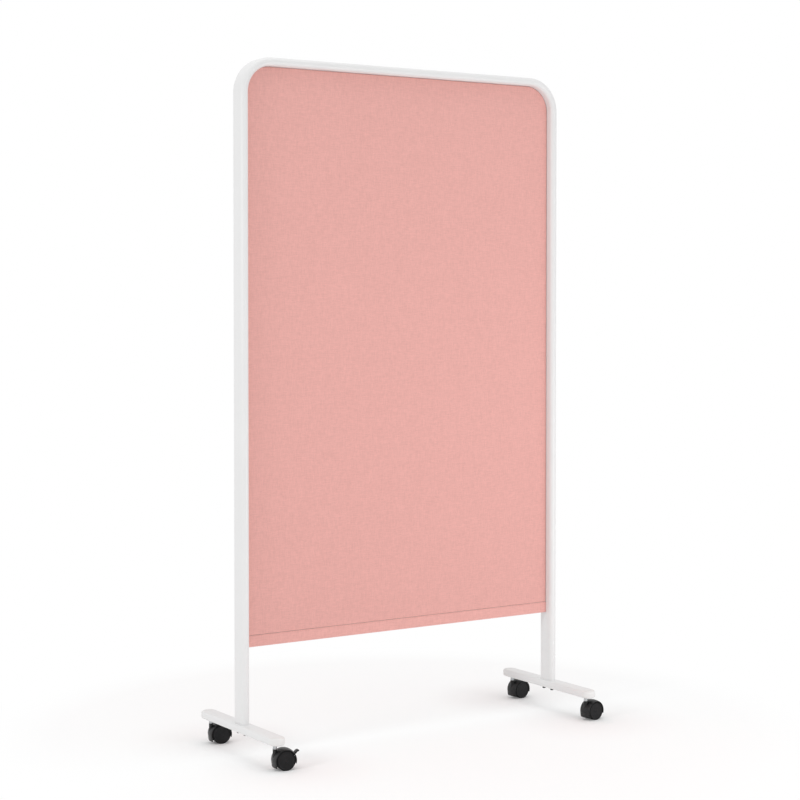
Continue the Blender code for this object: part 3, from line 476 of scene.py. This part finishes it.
def thicken(piece, cloth):
    wall = piece.modifiers.new("cloth thickness", "SOLIDIFY")
    wall.thickness = cloth
    wall.offset = -1.0
    wall.use_even_offset = True


def buildSleeve(sizes):
    bm = uprightSlab(sizes["halfWidth"], sizes["bottom"], sizes["top"], sizes["thickness"],
                     sizes["cornerRadius"])
    mouthTop = sizes["bottom"] + samePlace
    rims = [edge for edge in bm.edges if len({round(abs(f.normal.y)) for f in edge.link_faces}) == 2]
    rims = [edge for edge in rims if max(v.co.z for v in edge.verts) > mouthTop]
    bmesh.ops.bevel(bm, geom=rims, offset=sizes["edgeRound"], offset_type="OFFSET", segments=5,
                    profile=0.5, affect="EDGES", material=-1)
    mouth = [f for f in bm.faces if f.normal.z < -0.99 and f.calc_center_median().z < mouthTop]
    bmesh.ops.delete(bm, geom=mouth, context="FACES")
    holdFlat(bm, sizes["border"])
    turnIn(bm, sizes["bottom"], sizes)
    moved(bm, Matrix.Translation((boardShift, 0, 0)))
    sleeve = makePiece("cloth_sleeve", bm, pinkCloth, "stand", ["fabric_cover"],
                       sharp=60, recalc=False)
    thicken(sleeve, sizes["cloth"])
    return sleeve


def buildBand(sizes, halfWidth):
    # folded round the panel's lower edge, open at both ends
    bm = uprightSlab(halfWidth, sizes["bottom"], sizes["top"], sizes["thickness"])
    low = [edge for edge in bm.edges if all(v.co.z < sizes["bottom"] + samePlace for v in edge.verts)
           and abs(edge.verts[0].co.x - edge.verts[1].co.x) > halfWidth]
    bmesh.ops.bevel(bm, geom=low, offset=sizes["edgeRound"], offset_type="OFFSET", segments=6,
                    profile=0.5, affect="EDGES", material=-1)
    loose = [f for f in bm.faces if f.normal.z > 0.99 or abs(f.normal.x) > 0.99]
    bmesh.ops.delete(bm, geom=loose, context="FACES")
    turnIn(bm, sizes["top"], sizes)
    moved(bm, Matrix.Translation((boardShift, 0, 0)))
    band = makePiece("hem_band", bm, hemCloth, "stand", ["bottom_hem"], sharp=30, recalc=False)
    # the cut ends don't bend the band's shading
    for edge in band.data.edges:
        ends = [band.data.vertices[index].co.x - boardShift for index in edge.vertices]
        if all(abs(abs(x) - halfWidth) < samePlace for x in ends):
            edge.use_edge_sharp = True
    thicken(band, sizes["cloth"])
    return band


def sewStitches(sizes, hem, halfWidth):
    # a row of lockstitches along the band's upper edge on each side: one stitch, repeated
    bm = bmesh.new()
    count = int(2 * (halfWidth - sizes["endGap"]) / sizes["pitch"])
    bmesh.ops.create_cone(bm, cap_ends=True, segments=6, radius1=sizes["radius"], radius2=sizes["radius"],
                          depth=sizes["length"] * sizes["straightShare"])
    caps = [f for f in bm.faces if len(f.verts) == 6]
    for tip in bmesh.ops.extrude_discrete_faces(bm, faces=caps)["faces"]:
        reach = sizes["length"] * (1 - sizes["straightShare"]) / 2
        bmesh.ops.translate(bm, verts=tip.verts, vec=tip.normal * reach)
        bmesh.ops.scale(bm, verts=tip.verts, vec=(sizes["tipShare"], sizes["tipShare"], 1))
    first = (boardShift - (count - 1) / 2 * sizes["pitch"], -hem["thickness"] / 2,
             hem["top"] - sizes["belowTop"])
    moved(bm, Matrix.Translation(first) @ Matrix.Rotation(turnQuarter, 4, "Y"))
    other = bmesh.ops.duplicate(bm, geom=bm.verts[:] + bm.edges[:] + bm.faces[:])["geom"]
    bmesh.ops.translate(bm, verts=vertsOf(other), vec=(0, hem["thickness"], 0))
    bmesh.ops.spin(bm, geom=bm.verts[:] + bm.edges[:] + bm.faces[:], cent=(0, 0, 0), axis=(0, 0, 1),
                   dvec=(sizes["pitch"], 0, 0), angle=0, steps=count - 1, use_duplicate=True)
    return makePiece("hem_stitches", bm, seamThread, "stand")


def buildPanel(sizes, hem, stitch):
    sleeve = buildSleeve(sizes)
    band = buildBand(hem, sizes["halfWidth"])
    stitches = sewStitches(stitch, hem, sizes["halfWidth"])


buildPanel(panelSizes, hemSizes, stitchSizes)
print("panel ready")


# Feet: a flat bar with round edges lying front to back under each post, and a half-round cap on each end

footSizes = {"width": 0.042, "height": 0.020, "rounding": 0.0055, "middle": 0.076, "base": 0.066,
             "tubeEnd": 0.1790, "boltSpacing": 0.036}


def barSection(bm, width, height, rounding):
    # a flat section with round corners, as an open loop in X and Z
    bmesh.ops.delete(bm, geom=roundedFace(bm, width, height, rounding, 6), context="FACES_ONLY")
    moved(bm, Matrix.Rotation(turnQuarter, 4, "X"))


def buildFoot(side, postX, sizes):
    place = Matrix.Translation((boardShift + postX, 0, sizes["middle"]))
    bm = bmesh.new()
    barSection(bm, sizes["width"], sizes["height"], sizes["rounding"])
    moved(bm, Matrix.Translation((0, -sizes["tubeEnd"], 0)))
    pushOn(bm, bm.edges[:], (0, 2 * sizes["tubeEnd"], 0))
    closeHoles(bm)
    moved(bm, place)
    makePiece(f"cross_foot_{side}", bm, whiteCoat, "stand", [f"foot_tube_{side}"], sharp=50)

    for end, way in (("front", -1), ("back", 1)):
        # half of the bar's section, closed to its middle and turned half round an upright line
        bm = bmesh.new()
        barSection(bm, sizes["width"], sizes["height"], sizes["rounding"])
        bmesh.ops.delete(bm, geom=[v for v in bm.verts if v.co.x < 0], context="VERTS")
        low = min(bm.verts, key=lambda v: (round(v.co.x, 6), v.co.z))
        high = min(bm.verts, key=lambda v: (round(v.co.x, 6), -v.co.z))
        for vert in (low, high):
            bm.edges.new((vert, bm.verts.new((0, 0, vert.co.z))))
        bmesh.ops.spin(bm, geom=bm.verts[:] + bm.edges[:], cent=(0, 0, 0), axis=(0, 0, -1), dvec=(0, 0, 0),
                       angle=math.pi, steps=48)
        bmesh.ops.remove_doubles(bm, verts=bm.verts, dist=0.00002)
        closeHoles(bm)
        moved(bm, Matrix.Translation((0, -sizes["tubeEnd"], 0)))
        if way > 0:
            moved(bm, Matrix.Rotation(math.pi, 4, "Z"))
        moved(bm, place)
        makePiece(f"foot_end_{end}_{side}", bm, whiteCap, "stand",
                  [f"foot_cap_{end}_{side}"], sharp=50)

        head = capHead()
        moved(head, Matrix.Translation((boardShift + postX, way * sizes["boltSpacing"] / 2, sizes["base"])))
        makePiece(f"socket_screw_{end}_{side}", head, screwSteel, "stand",
                  [f"foot_bolt_{end}_{side}"], sharp=35)


screwSizes = {"washerRadius": 0.0062, "washer": 0.0012, "headRadius": 0.0046, "headHeight": 0.0080,
              "edge": 0.0005, "flatRadius": 0.0034, "keyRadius": 0.0024, "keyDepth": 0.0030,
              "shankRadius": 0.004, "shankReach": 0.048}


def capHead():
    # a socket-head cap screw on its washer, head down, from the foot's underside
    sizes = screwSizes
    washer = sizes["washerRadius"]
    head = sizes["headRadius"]
    low = -sizes["headHeight"]
    edge = sizes["edge"]
    profile = [(0.0, sizes["shankReach"]), (sizes["shankRadius"] - edge, sizes["shankReach"]),
               (sizes["shankRadius"], sizes["shankReach"] - edge), (sizes["shankRadius"], 0.0),
               (washer, 0.0), (washer, -sizes["washer"] + edge / 2), (washer - edge / 2, -sizes["washer"]),
               (head, -sizes["washer"]), (head, low + edge), (head - edge * 0.3, low + edge * 0.3),
               (head - edge, low), (sizes["flatRadius"], low)]
    bm = turnedProfile(profile, 36)
    rim = [e for e in bm.edges if len(e.link_faces) == 1]
    hexagon = bmesh.ops.create_circle(bm, cap_ends=False, segments=6, radius=sizes["keyRadius"])["verts"]
    bmesh.ops.translate(bm, verts=hexagon, vec=(0, 0, -sizes["headHeight"]))
    sides = list({e for v in hexagon for e in v.link_edges})
    bmesh.ops.bridge_loops(bm, edges=rim + sides)
    floor = pushOn(bm, sides, (0, 0, sizes["keyDepth"]))
    bmesh.ops.contextual_create(bm, geom=[g for g in floor if isinstance(g, bmesh.types.BMEdge)])
    return bm


for side, way in (("left", -1), ("right", 1)):
    buildFoot(side, way * tubeSizes["postSpacing"] / 2, footSizes)
print("feet ready")


# Castors: a steel stem in each foot end, a black hood that swivels on it, and two wheels on one axle

castorSizes = {"stemOffset": 0.170, "trail": 0.0245, "axleHeight": 0.025}
castorCorners = {"front_left": (-1, -1, -9.6), "back_left": (-1, 1, -11.3),
                 "front_right": (1, -1, 4.2), "back_right": (1, 1, 3.4)}  # sides and heading in degrees
stemSizes = {"radius": 0.005, "bottom": 0.0543, "flangeRadius": 0.0056, "flangeHeight": 0.0025, "top": 0.081,
             "pivotRadius": 0.0035, "pivotBottom": 0.0403, "edge": 0.0004}
hoodSizes = {"radius": 0.028, "crown": 0.0025, "wall": 0.0020, "width": 0.037, "wallEdge": 0.0009,
             "edge": 0.0004, "rear": -18, "front": 187, "apron": 0.014, "webReach": 0.027,
             "webThickness": 0.005, "bossRadius": 0.0054, "bossTop": 0.054, "bossRoot": 0.030,
             "bossEdge": 0.0008}
slotSizes = {"inner": 0.0219, "outer": 0.0330, "width": 0.0098, "low": 1, "high": 33}
pedalSizes = {"pivotReach": 0.0180, "pivotAngle": 6, "eye": 0.0030, "rise": 50, "straight": 0.0240,
              "bend": 0.0070, "fall": -18, "thickness": 0.0044, "rounding": 0.0013, "neckHalf": 0.0046,
              "padHalf": 0.0070, "padStart": 0.0180, "widening": 0.0025, "forkWidth": 0.0056,
              "forkReach": 0.0225}
wheelSizes = {"face": 0.0182, "width": 0.0132, "rim": 0.0232, "rimWall": 0.0020, "rimLip": 0.0024,
              "slope": 0.0010, "edge": 0.0004, "dish": 0.0009, "disc": 0.0028, "hub": 0.006,
              "hubEnd": 0.0047, "cap": 0.0042, "capSlope": 0.0006, "tyre": 0.025, "tyreRound": 0.0008,
              "seat": 0.0002, "setback": 0.0004}


def castorPlace(corner):
    across, along, heading = castorCorners[corner]
    stemX = boardShift + across * tubeSizes["postSpacing"] / 2
    spot = Matrix.Translation((stemX, along * castorSizes["stemOffset"], 0))
    return spot @ Matrix.Rotation(math.radians(heading), 4, "Z")


def axlePlace(corner):
    return castorPlace(corner) @ Matrix.Translation((castorSizes["trail"], 0, castorSizes["axleHeight"]))


def buildStem(corner, sizes):
    radius = sizes["radius"]
    flange = sizes["flangeRadius"]
    low = sizes["bottom"]
    high = low + sizes["flangeHeight"]
    edge = sizes["edge"]
    bm = turnedProfile([
        (0, sizes["top"]), (radius - edge, sizes["top"]), (radius, sizes["top"] - edge), (radius, high),
        (flange - edge, high), (flange, high - edge), (flange, low), (sizes["pivotRadius"], low),
        (sizes["pivotRadius"], sizes["pivotBottom"]), (0, sizes["pivotBottom"])])
    moved(bm, castorPlace(corner))
    makePiece(f"swivel_stem_{corner}", bm, zinc, "stand", [f"stem_{corner}"])


def sweptRound(bm, low, high, steps):
    # turns the open loop in bm about the wheel axis, between two angles in degrees up from +X
    moved(bm, Matrix.Rotation(math.radians(-low), 4, "Y"))
    return bmesh.ops.spin(bm, geom=bm.verts[:] + bm.edges[:], cent=(0, 0, 0), axis=(0, -1, 0), dvec=(0, 0, 0),
                          angle=math.radians(high - low), steps=steps)["geom_last"]


def pedalSlot(sizes):
    # the wedge about the wheel axis that the brake pedal moves in
    bm = bmesh.new()
    face = roundedFace(bm, sizes["outer"] - sizes["inner"], sizes["width"], 0, 1)
    bmesh.ops.delete(bm, geom=face, context="FACES_ONLY")
    moved(bm, Matrix.Translation(((sizes["outer"] + sizes["inner"]) / 2, 0, 0)))
    sweptRound(bm, sizes["low"], sizes["high"], 10)
    closeHoles(bm)
    return bm


def hoodShell(sizes, apron):
    # a crowned strip turned over the wheels, with its straight apron in front
    bm = bmesh.new()
    half = sizes["width"] / 2
    strip = roundedFace(bm, sizes["wall"], sizes["width"], sizes["wallEdge"], 4)
    bmesh.ops.delete(bm, geom=strip, context="FACES_ONLY")
    bmesh.ops.subdivide_edges(bm, edges=[e for e in bm.edges if e.calc_length() > half], cuts=11)
    for vert in bm.verts:
        vert.co.x += sizes["radius"] - sizes["wall"] / 2 + sizes["crown"] * (1 - (vert.co.y / half) ** 2)
    front = sweptRound(bm, sizes["rear"], sizes["front"], 82)
    pushOn(bm, front, apron)
    closeHoles(bm)
    bmesh.ops.recalc_face_normals(bm, faces=bm.faces)
    softenEdges(bm, sizes["edge"], 60)
    return bm


def hoodWeb(sizes, apron):
    # the flat wall between the wheels: the hood's side outline, closed from the apron's foot to the rear
    bm = bmesh.new()
    bmesh.ops.create_circle(bm, cap_ends=False, segments=100, radius=sizes["webReach"])
    below = [v for v in bm.verts
             if sizes["front"] + 1 < math.degrees(math.atan2(v.co.y, v.co.x)) % 360 < sizes["rear"] + 359]
    bmesh.ops.delete(bm, geom=below, context="VERTS")
    moved(bm, Matrix.Translation((0, sizes["webThickness"] / 2, 0)) @ Matrix.Rotation(turnQuarter, 4, "X"))
    front, rear = sorted([v for v in bm.verts if len(v.link_edges) == 1], key=lambda v: v.co.x)
    foot = bm.verts.new(front.co + apron)
    bm.edges.new((front, foot))
    bm.edges.new((foot, rear))
    bmesh.ops.edgeloop_fill(bm, edges=bm.edges[:])
    grown = bmesh.ops.extrude_face_region(bm, geom=bm.faces[:])["geom"]
    bmesh.ops.translate(bm, verts=vertsOf(grown), vec=(0, -sizes["webThickness"], 0))
    return bm


def buildHood(corner, sizes, braked):
    front = math.radians(sizes["front"])
    apron = Vector((-math.sin(front), 0, math.cos(front))) * sizes["apron"]
    bm = hoodShell(sizes, apron)
    web = hoodWeb(sizes, apron)
    if braked:
        bm = cutAway(bm, pedalSlot(slotSizes))
        web = cutAway(web, pedalSlot(slotSizes))
    joinedTo(bm, web)
    moved(bm, Matrix.Translation((castorSizes["trail"], 0, castorSizes["axleHeight"])))

    radius = sizes["bossRadius"]
    edge = sizes["bossEdge"]
    joinedTo(bm, turnedProfile([
        (0, sizes["bossTop"]), (radius - edge, sizes["bossTop"]), (radius, sizes["bossTop"] - edge),
        (radius, sizes["bossRoot"]), (0, sizes["bossRoot"])]))
    moved(bm, castorPlace(corner))
    makePiece(f"castor_hood_{corner}", bm, hoodNylon, f"castor_{corner}",
              [f"housing_{corner}"])


def buildWheel(corner, name, sizes):
    flip = Matrix.Rotation(math.pi, 4, "Z") if name == "near" else Matrix.Identity(4)
    upright = Matrix.Rotation(-turnQuarter, 4, "X")  # the profile's height becomes +Y
    face = sizes["face"]
    rim = sizes["rim"]
    inner = face - sizes["width"]
    back = face - sizes["disc"]
    edge = sizes["edge"]
    lip = rim - sizes["rimLip"]
    bm = turnedProfile([
        (0, face - edge), (sizes["cap"], face - edge), (sizes["cap"] + sizes["capSlope"], face - sizes["dish"]),
        (lip - sizes["slope"], face - sizes["dish"]), (lip, face - edge / 4), (rim - edge, face),
        (rim, face - edge), (rim, inner), (rim - sizes["rimWall"], inner), (rim - sizes["rimWall"], back),
        (sizes["hub"], back), (sizes["hub"], sizes["hubEnd"]), (0, sizes["hubEnd"])], 64)
    moved(bm, axlePlace(corner) @ flip @ upright)
    makePiece(f"wheel_disc_{name}_{corner}", bm, discNylon, f"roller_{name}_{corner}",
              [f"wheel_{name}_{corner}"], sharp=28)

    bm = bmesh.new()
    high = face - sizes["setback"]
    low = inner + sizes["setback"]
    root = rim + sizes["seat"]
    roundedFace(bm, sizes["tyre"] - root, high - low, sizes["tyreRound"], 5)
    moved(bm, Matrix.Translation(((sizes["tyre"] + root) / 2, (high + low) / 2, 0)))
    bmesh.ops.delete(bm, geom=bm.faces[:], context="FACES_ONLY")
    bmesh.ops.spin(bm, geom=bm.verts[:] + bm.edges[:], cent=(0, 0, 0), axis=(0, 1, 0), dvec=(0, 0, 0),
                   angle=2 * math.pi, steps=72, use_merge=True)
    moved(bm, axlePlace(corner) @ flip)
    makePiece(f"tread_ring_{name}_{corner}", bm, treadNylon, f"roller_{name}_{corner}",
              [f"tyre_{name}_{corner}"], sharp=50)


def pedalStation(sizes, along):
    # where the pedal's section lies at a distance along it: straight out, then bent over, with both ends
    # drawn in; the section's thickness is its X, its width its Y
    rise = math.radians(sizes["rise"])
    whole = sizes["straight"] + (rise - math.radians(sizes["fall"])) * sizes["bend"]
    half = sizes["thickness"] / 2
    angle = rise - max(0.0, along - sizes["straight"]) / sizes["bend"]
    pivot = math.radians(sizes["pivotAngle"])
    out = min(along, sizes["straight"]) - sizes["eye"]
    x = (sizes["pivotReach"] * math.cos(pivot) + out * math.cos(rise)
         + sizes["bend"] * (math.sin(rise) - math.sin(angle)))
    z = (sizes["pivotReach"] * math.sin(pivot) + out * math.sin(rise)
         + sizes["bend"] * (math.cos(angle) - math.cos(rise)))
    drawn = max(0.0, 1 - min(along, whole - along) / half)
    full = math.sqrt(1 - drawn ** 2)
    wider = min(1.0, max(0.0, (along - sizes["padStart"]) / sizes["widening"]))
    wide = (sizes["neckHalf"] + (sizes["padHalf"] - sizes["neckHalf"]) * wider ** 2 * (3 - 2 * wider)
            - half * (1 - full))
    return (Matrix.Translation((x, 0, z)) @ Matrix.Rotation(turnQuarter - angle, 4, "Y")
            @ Matrix.Diagonal((full, wide / sizes["neckHalf"], 1, 1)))


def buildPedal(sizes):
    # the brake's foot pedal: a forked neck over the web, a wider pad, a drooping round tip
    half = sizes["thickness"] / 2
    whole = sizes["straight"] + math.radians(sizes["rise"] - sizes["fall"]) * sizes["bend"]
    ends = [half * (1 - math.cos(math.radians(turn))) for turn in (10, 22, 36, 52, 70, 90)]
    between = [half + (whole - 2 * half) * step / 44 for step in range(1, 44)]
    stations = ends + between + [whole - end for end in reversed(ends)]
    bm = bmesh.new()
    face = roundedFace(bm, sizes["thickness"], 2 * sizes["neckHalf"], sizes["rounding"], 4)
    bmesh.ops.delete(bm, geom=face, context="FACES_ONLY")
    near = pedalStation(sizes, stations[0])
    moved(bm, near)
    ring = bm.edges[:]
    for along in stations[1:]:
        far = pedalStation(sizes, along)
        ring = pushOn(bm, ring, (0, 0, 0))
        moved(bm, far @ near.inverted(), vertsOf(ring))
        near = far
    closeHoles(bm)
    fork = bmesh.new()
    bmesh.ops.create_cone(fork, cap_ends=True, segments=64, radius1=sizes["forkReach"],
                          radius2=sizes["forkReach"], depth=sizes["forkWidth"])
    moved(fork, Matrix.Rotation(turnQuarter, 4, "X"))
    bm = cutAway(bm, fork)
    moved(bm, axlePlace("front_left"))
    makePiece("brake_pedal", bm, hoodNylon, "brake", ["brake_lever"])


for corner in castorCorners:
    buildStem(corner, stemSizes)
    buildHood(corner, hoodSizes, corner == "front_left")
    for name in ("near", "far"):
        buildWheel(corner, name, wheelSizes)
buildPedal(pedalSizes)
print("castors ready")


# Pieces that keep their CAD shape and take a better finish

for node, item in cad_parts.items():
    finish = None
    if node == "core_board":
        finish = coreBoard
    elif node.startswith(("panel_pin", "post_plug", "stem_nut", "axle", "brake_pin")):
        finish = zinc
    if finish:
        for slot in item.material_slots:
            slot.material = finish
print("hidden pieces finished")


# Studio: a pale floor, a soft surround and large lamps

studioSizes = {"floor": 20, "whiteFrom": 0.60, "whiteTo": 1.2, "shadowFrom": 0.04, "shadowTo": 0.30,
               "shadowGlow": 0.10, "floorGlow": 0.65, "surround": 0.78}
studioLamps = {"key softbox": ((1.3, -2.3, 0.4), (0.2, 0, 0.5), (1.4, 0.6), 14),
               "side softbox": ((-3.4, -0.7, 1.6), (-0.4, 0, 0.3), (0.7, 0.7), 20),
               "top softbox": ((0, -0.2, 4.8), (0, -0.1, 0.6), (3.0, 3.0), 38)}  # place, target, size, watts


def buildFloor(sizes):
    bm = bmesh.new()
    bmesh.ops.create_grid(bm, x_segments=8, y_segments=8, size=sizes["floor"])
    mesh = bpy.data.meshes.new("studio_floor")
    bm.to_mesh(mesh)
    bm.free()
    floor = bpy.data.objects.new("studio_floor", mesh)
    bpy.context.scene.collection.objects.link(floor)
    material = bpy.data.materials.new("pale studio floor")
    material.use_nodes = True
    tree = material.node_tree
    tree.nodes.remove(tree.nodes["Principled BSDF"])
    place = addNode(tree, "ShaderNodeTexCoord")
    matt = addNode(tree, "ShaderNodeBsdfDiffuse", values={"Color": (0.96, 0.96, 0.96, 1)})
    glow = addNode(tree, "ShaderNodeEmission", values={"Color": (1, 1, 1, 1), "Strength": 1.0})
    reach = addNode(tree, "ShaderNodeVectorMath", {"operation": "LENGTH"}, {0: place.outputs["Object"]})
    far = addNode(tree, "ShaderNodeMapRange", {"interpolation_type": "SMOOTHSTEP"},
                  {"Value": reach.outputs["Value"], "From Min": sizes["whiteFrom"],
                   "From Max": sizes["whiteTo"], "To Min": 0.0, "To Max": 1.0})
    # the glow steps back round the four castors, so that their contact shadows show
    centred = addNode(tree, "ShaderNodeVectorMath", {"operation": "SUBTRACT"},
                      {0: place.outputs["Object"], 1: (boardShift + castorSizes["trail"], 0, 0)})
    folded = addNode(tree, "ShaderNodeVectorMath", {"operation": "ABSOLUTE"}, {0: centred.outputs[0]})
    corner = addNode(tree, "ShaderNodeVectorMath", {"operation": "DISTANCE"},
                     {0: folded.outputs[0], 1: (tubeSizes["postSpacing"] / 2, castorSizes["stemOffset"], 0)})
    near = addNode(tree, "ShaderNodeMapRange", {"interpolation_type": "SMOOTHSTEP"},
                   {"Value": corner.outputs["Value"], "From Min": sizes["shadowFrom"],
                    "From Max": sizes["shadowTo"], "To Min": sizes["shadowGlow"], "To Max": sizes["floorGlow"]})
    fade = addNode(tree, "ShaderNodeMath", {"operation": "MAXIMUM"},
                   {0: near.outputs["Result"], 1: far.outputs["Result"]})
    path = addNode(tree, "ShaderNodeLightPath")
    seen = addNode(tree, "ShaderNodeMath", {"operation": "MULTIPLY"},
                   {0: path.outputs["Is Camera Ray"], 1: fade.outputs[0]})
    mix = addNode(tree, "ShaderNodeMixShader",
                  values={0: seen.outputs[0], 1: matt.outputs[0], 2: glow.outputs[0]})
    tree.links.new(mix.outputs[0], tree.nodes["Material Output"].inputs["Surface"])
    floor.data.materials.append(material)


def buildSurround(strength):
    # white where the camera and gloss see it, softer as a light
    world = bpy.data.worlds.new("studio surround")
    bpy.context.scene.world = world
    world.use_nodes = True
    tree = world.node_tree
    tree.nodes.clear()
    soft = addNode(tree, "ShaderNodeBackground", values={"Color": (1, 1, 1, 1), "Strength": strength})
    plain = addNode(tree, "ShaderNodeBackground", values={"Color": (1, 1, 1, 1), "Strength": 1.0})
    path = addNode(tree, "ShaderNodeLightPath")
    first = addNode(tree, "ShaderNodeMath", {"operation": "ADD"},
                    {0: path.outputs["Is Camera Ray"], 1: path.outputs["Is Glossy Ray"]})
    every = addNode(tree, "ShaderNodeMath", {"operation": "ADD", "use_clamp": True},
                    {0: first.outputs[0], 1: path.outputs["Is Transmission Ray"]})
    mix = addNode(tree, "ShaderNodeMixShader",
                  values={0: every.outputs[0], 1: soft.outputs[0], 2: plain.outputs[0]})
    out = addNode(tree, "ShaderNodeOutputWorld")
    tree.links.new(mix.outputs[0], out.inputs["Surface"])


def addLamp(name, spot, target, size, power):
    lamp = bpy.data.lights.new(name, "AREA")
    lamp.shape = "RECTANGLE"
    lamp.size, lamp.size_y = size
    lamp.energy = power
    item = bpy.data.objects.new(name, lamp)
    bpy.context.scene.collection.objects.link(item)
    item.location = spot
    item.rotation_euler = (Vector(target) - Vector(spot)).to_track_quat("-Z", "Y").to_euler()


buildFloor(studioSizes)
buildSurround(studioSizes["surround"])
for name, (spot, target, size, power) in studioLamps.items():
    addLamp(name, spot, target, size, power)


# Camera, at the photograph's viewing angle: level enough that the posts stay upright, so the
# frame is lowered a little by the shift

cameraSizes = {"place": (-2.84085, -4.23, 1.1959), "yaw": 33.638, "pitchDown": 1.568, "focalPixels": 1876.9,
               "pictureWidth": 800, "sensor": 36, "shiftDown": 0.07}


def buildCamera(sizes):
    lens = bpy.data.cameras.new("picture camera")
    lens.sensor_width = sizes["sensor"]
    lens.lens = sizes["focalPixels"] * sizes["sensor"] / sizes["pictureWidth"]
    lens.shift_y = -sizes["shiftDown"]
    lens.clip_end = 100
    camera = bpy.data.objects.new("picture camera", lens)
    bpy.context.scene.collection.objects.link(camera)
    camera.location = sizes["place"]
    camera.rotation_euler = (turnQuarter - math.radians(sizes["pitchDown"]), 0, -math.radians(sizes["yaw"]))
    bpy.context.scene.camera = camera


buildCamera(cameraSizes)
bpy.context.scene.view_settings.view_transform = "Standard"
print("scene ready")
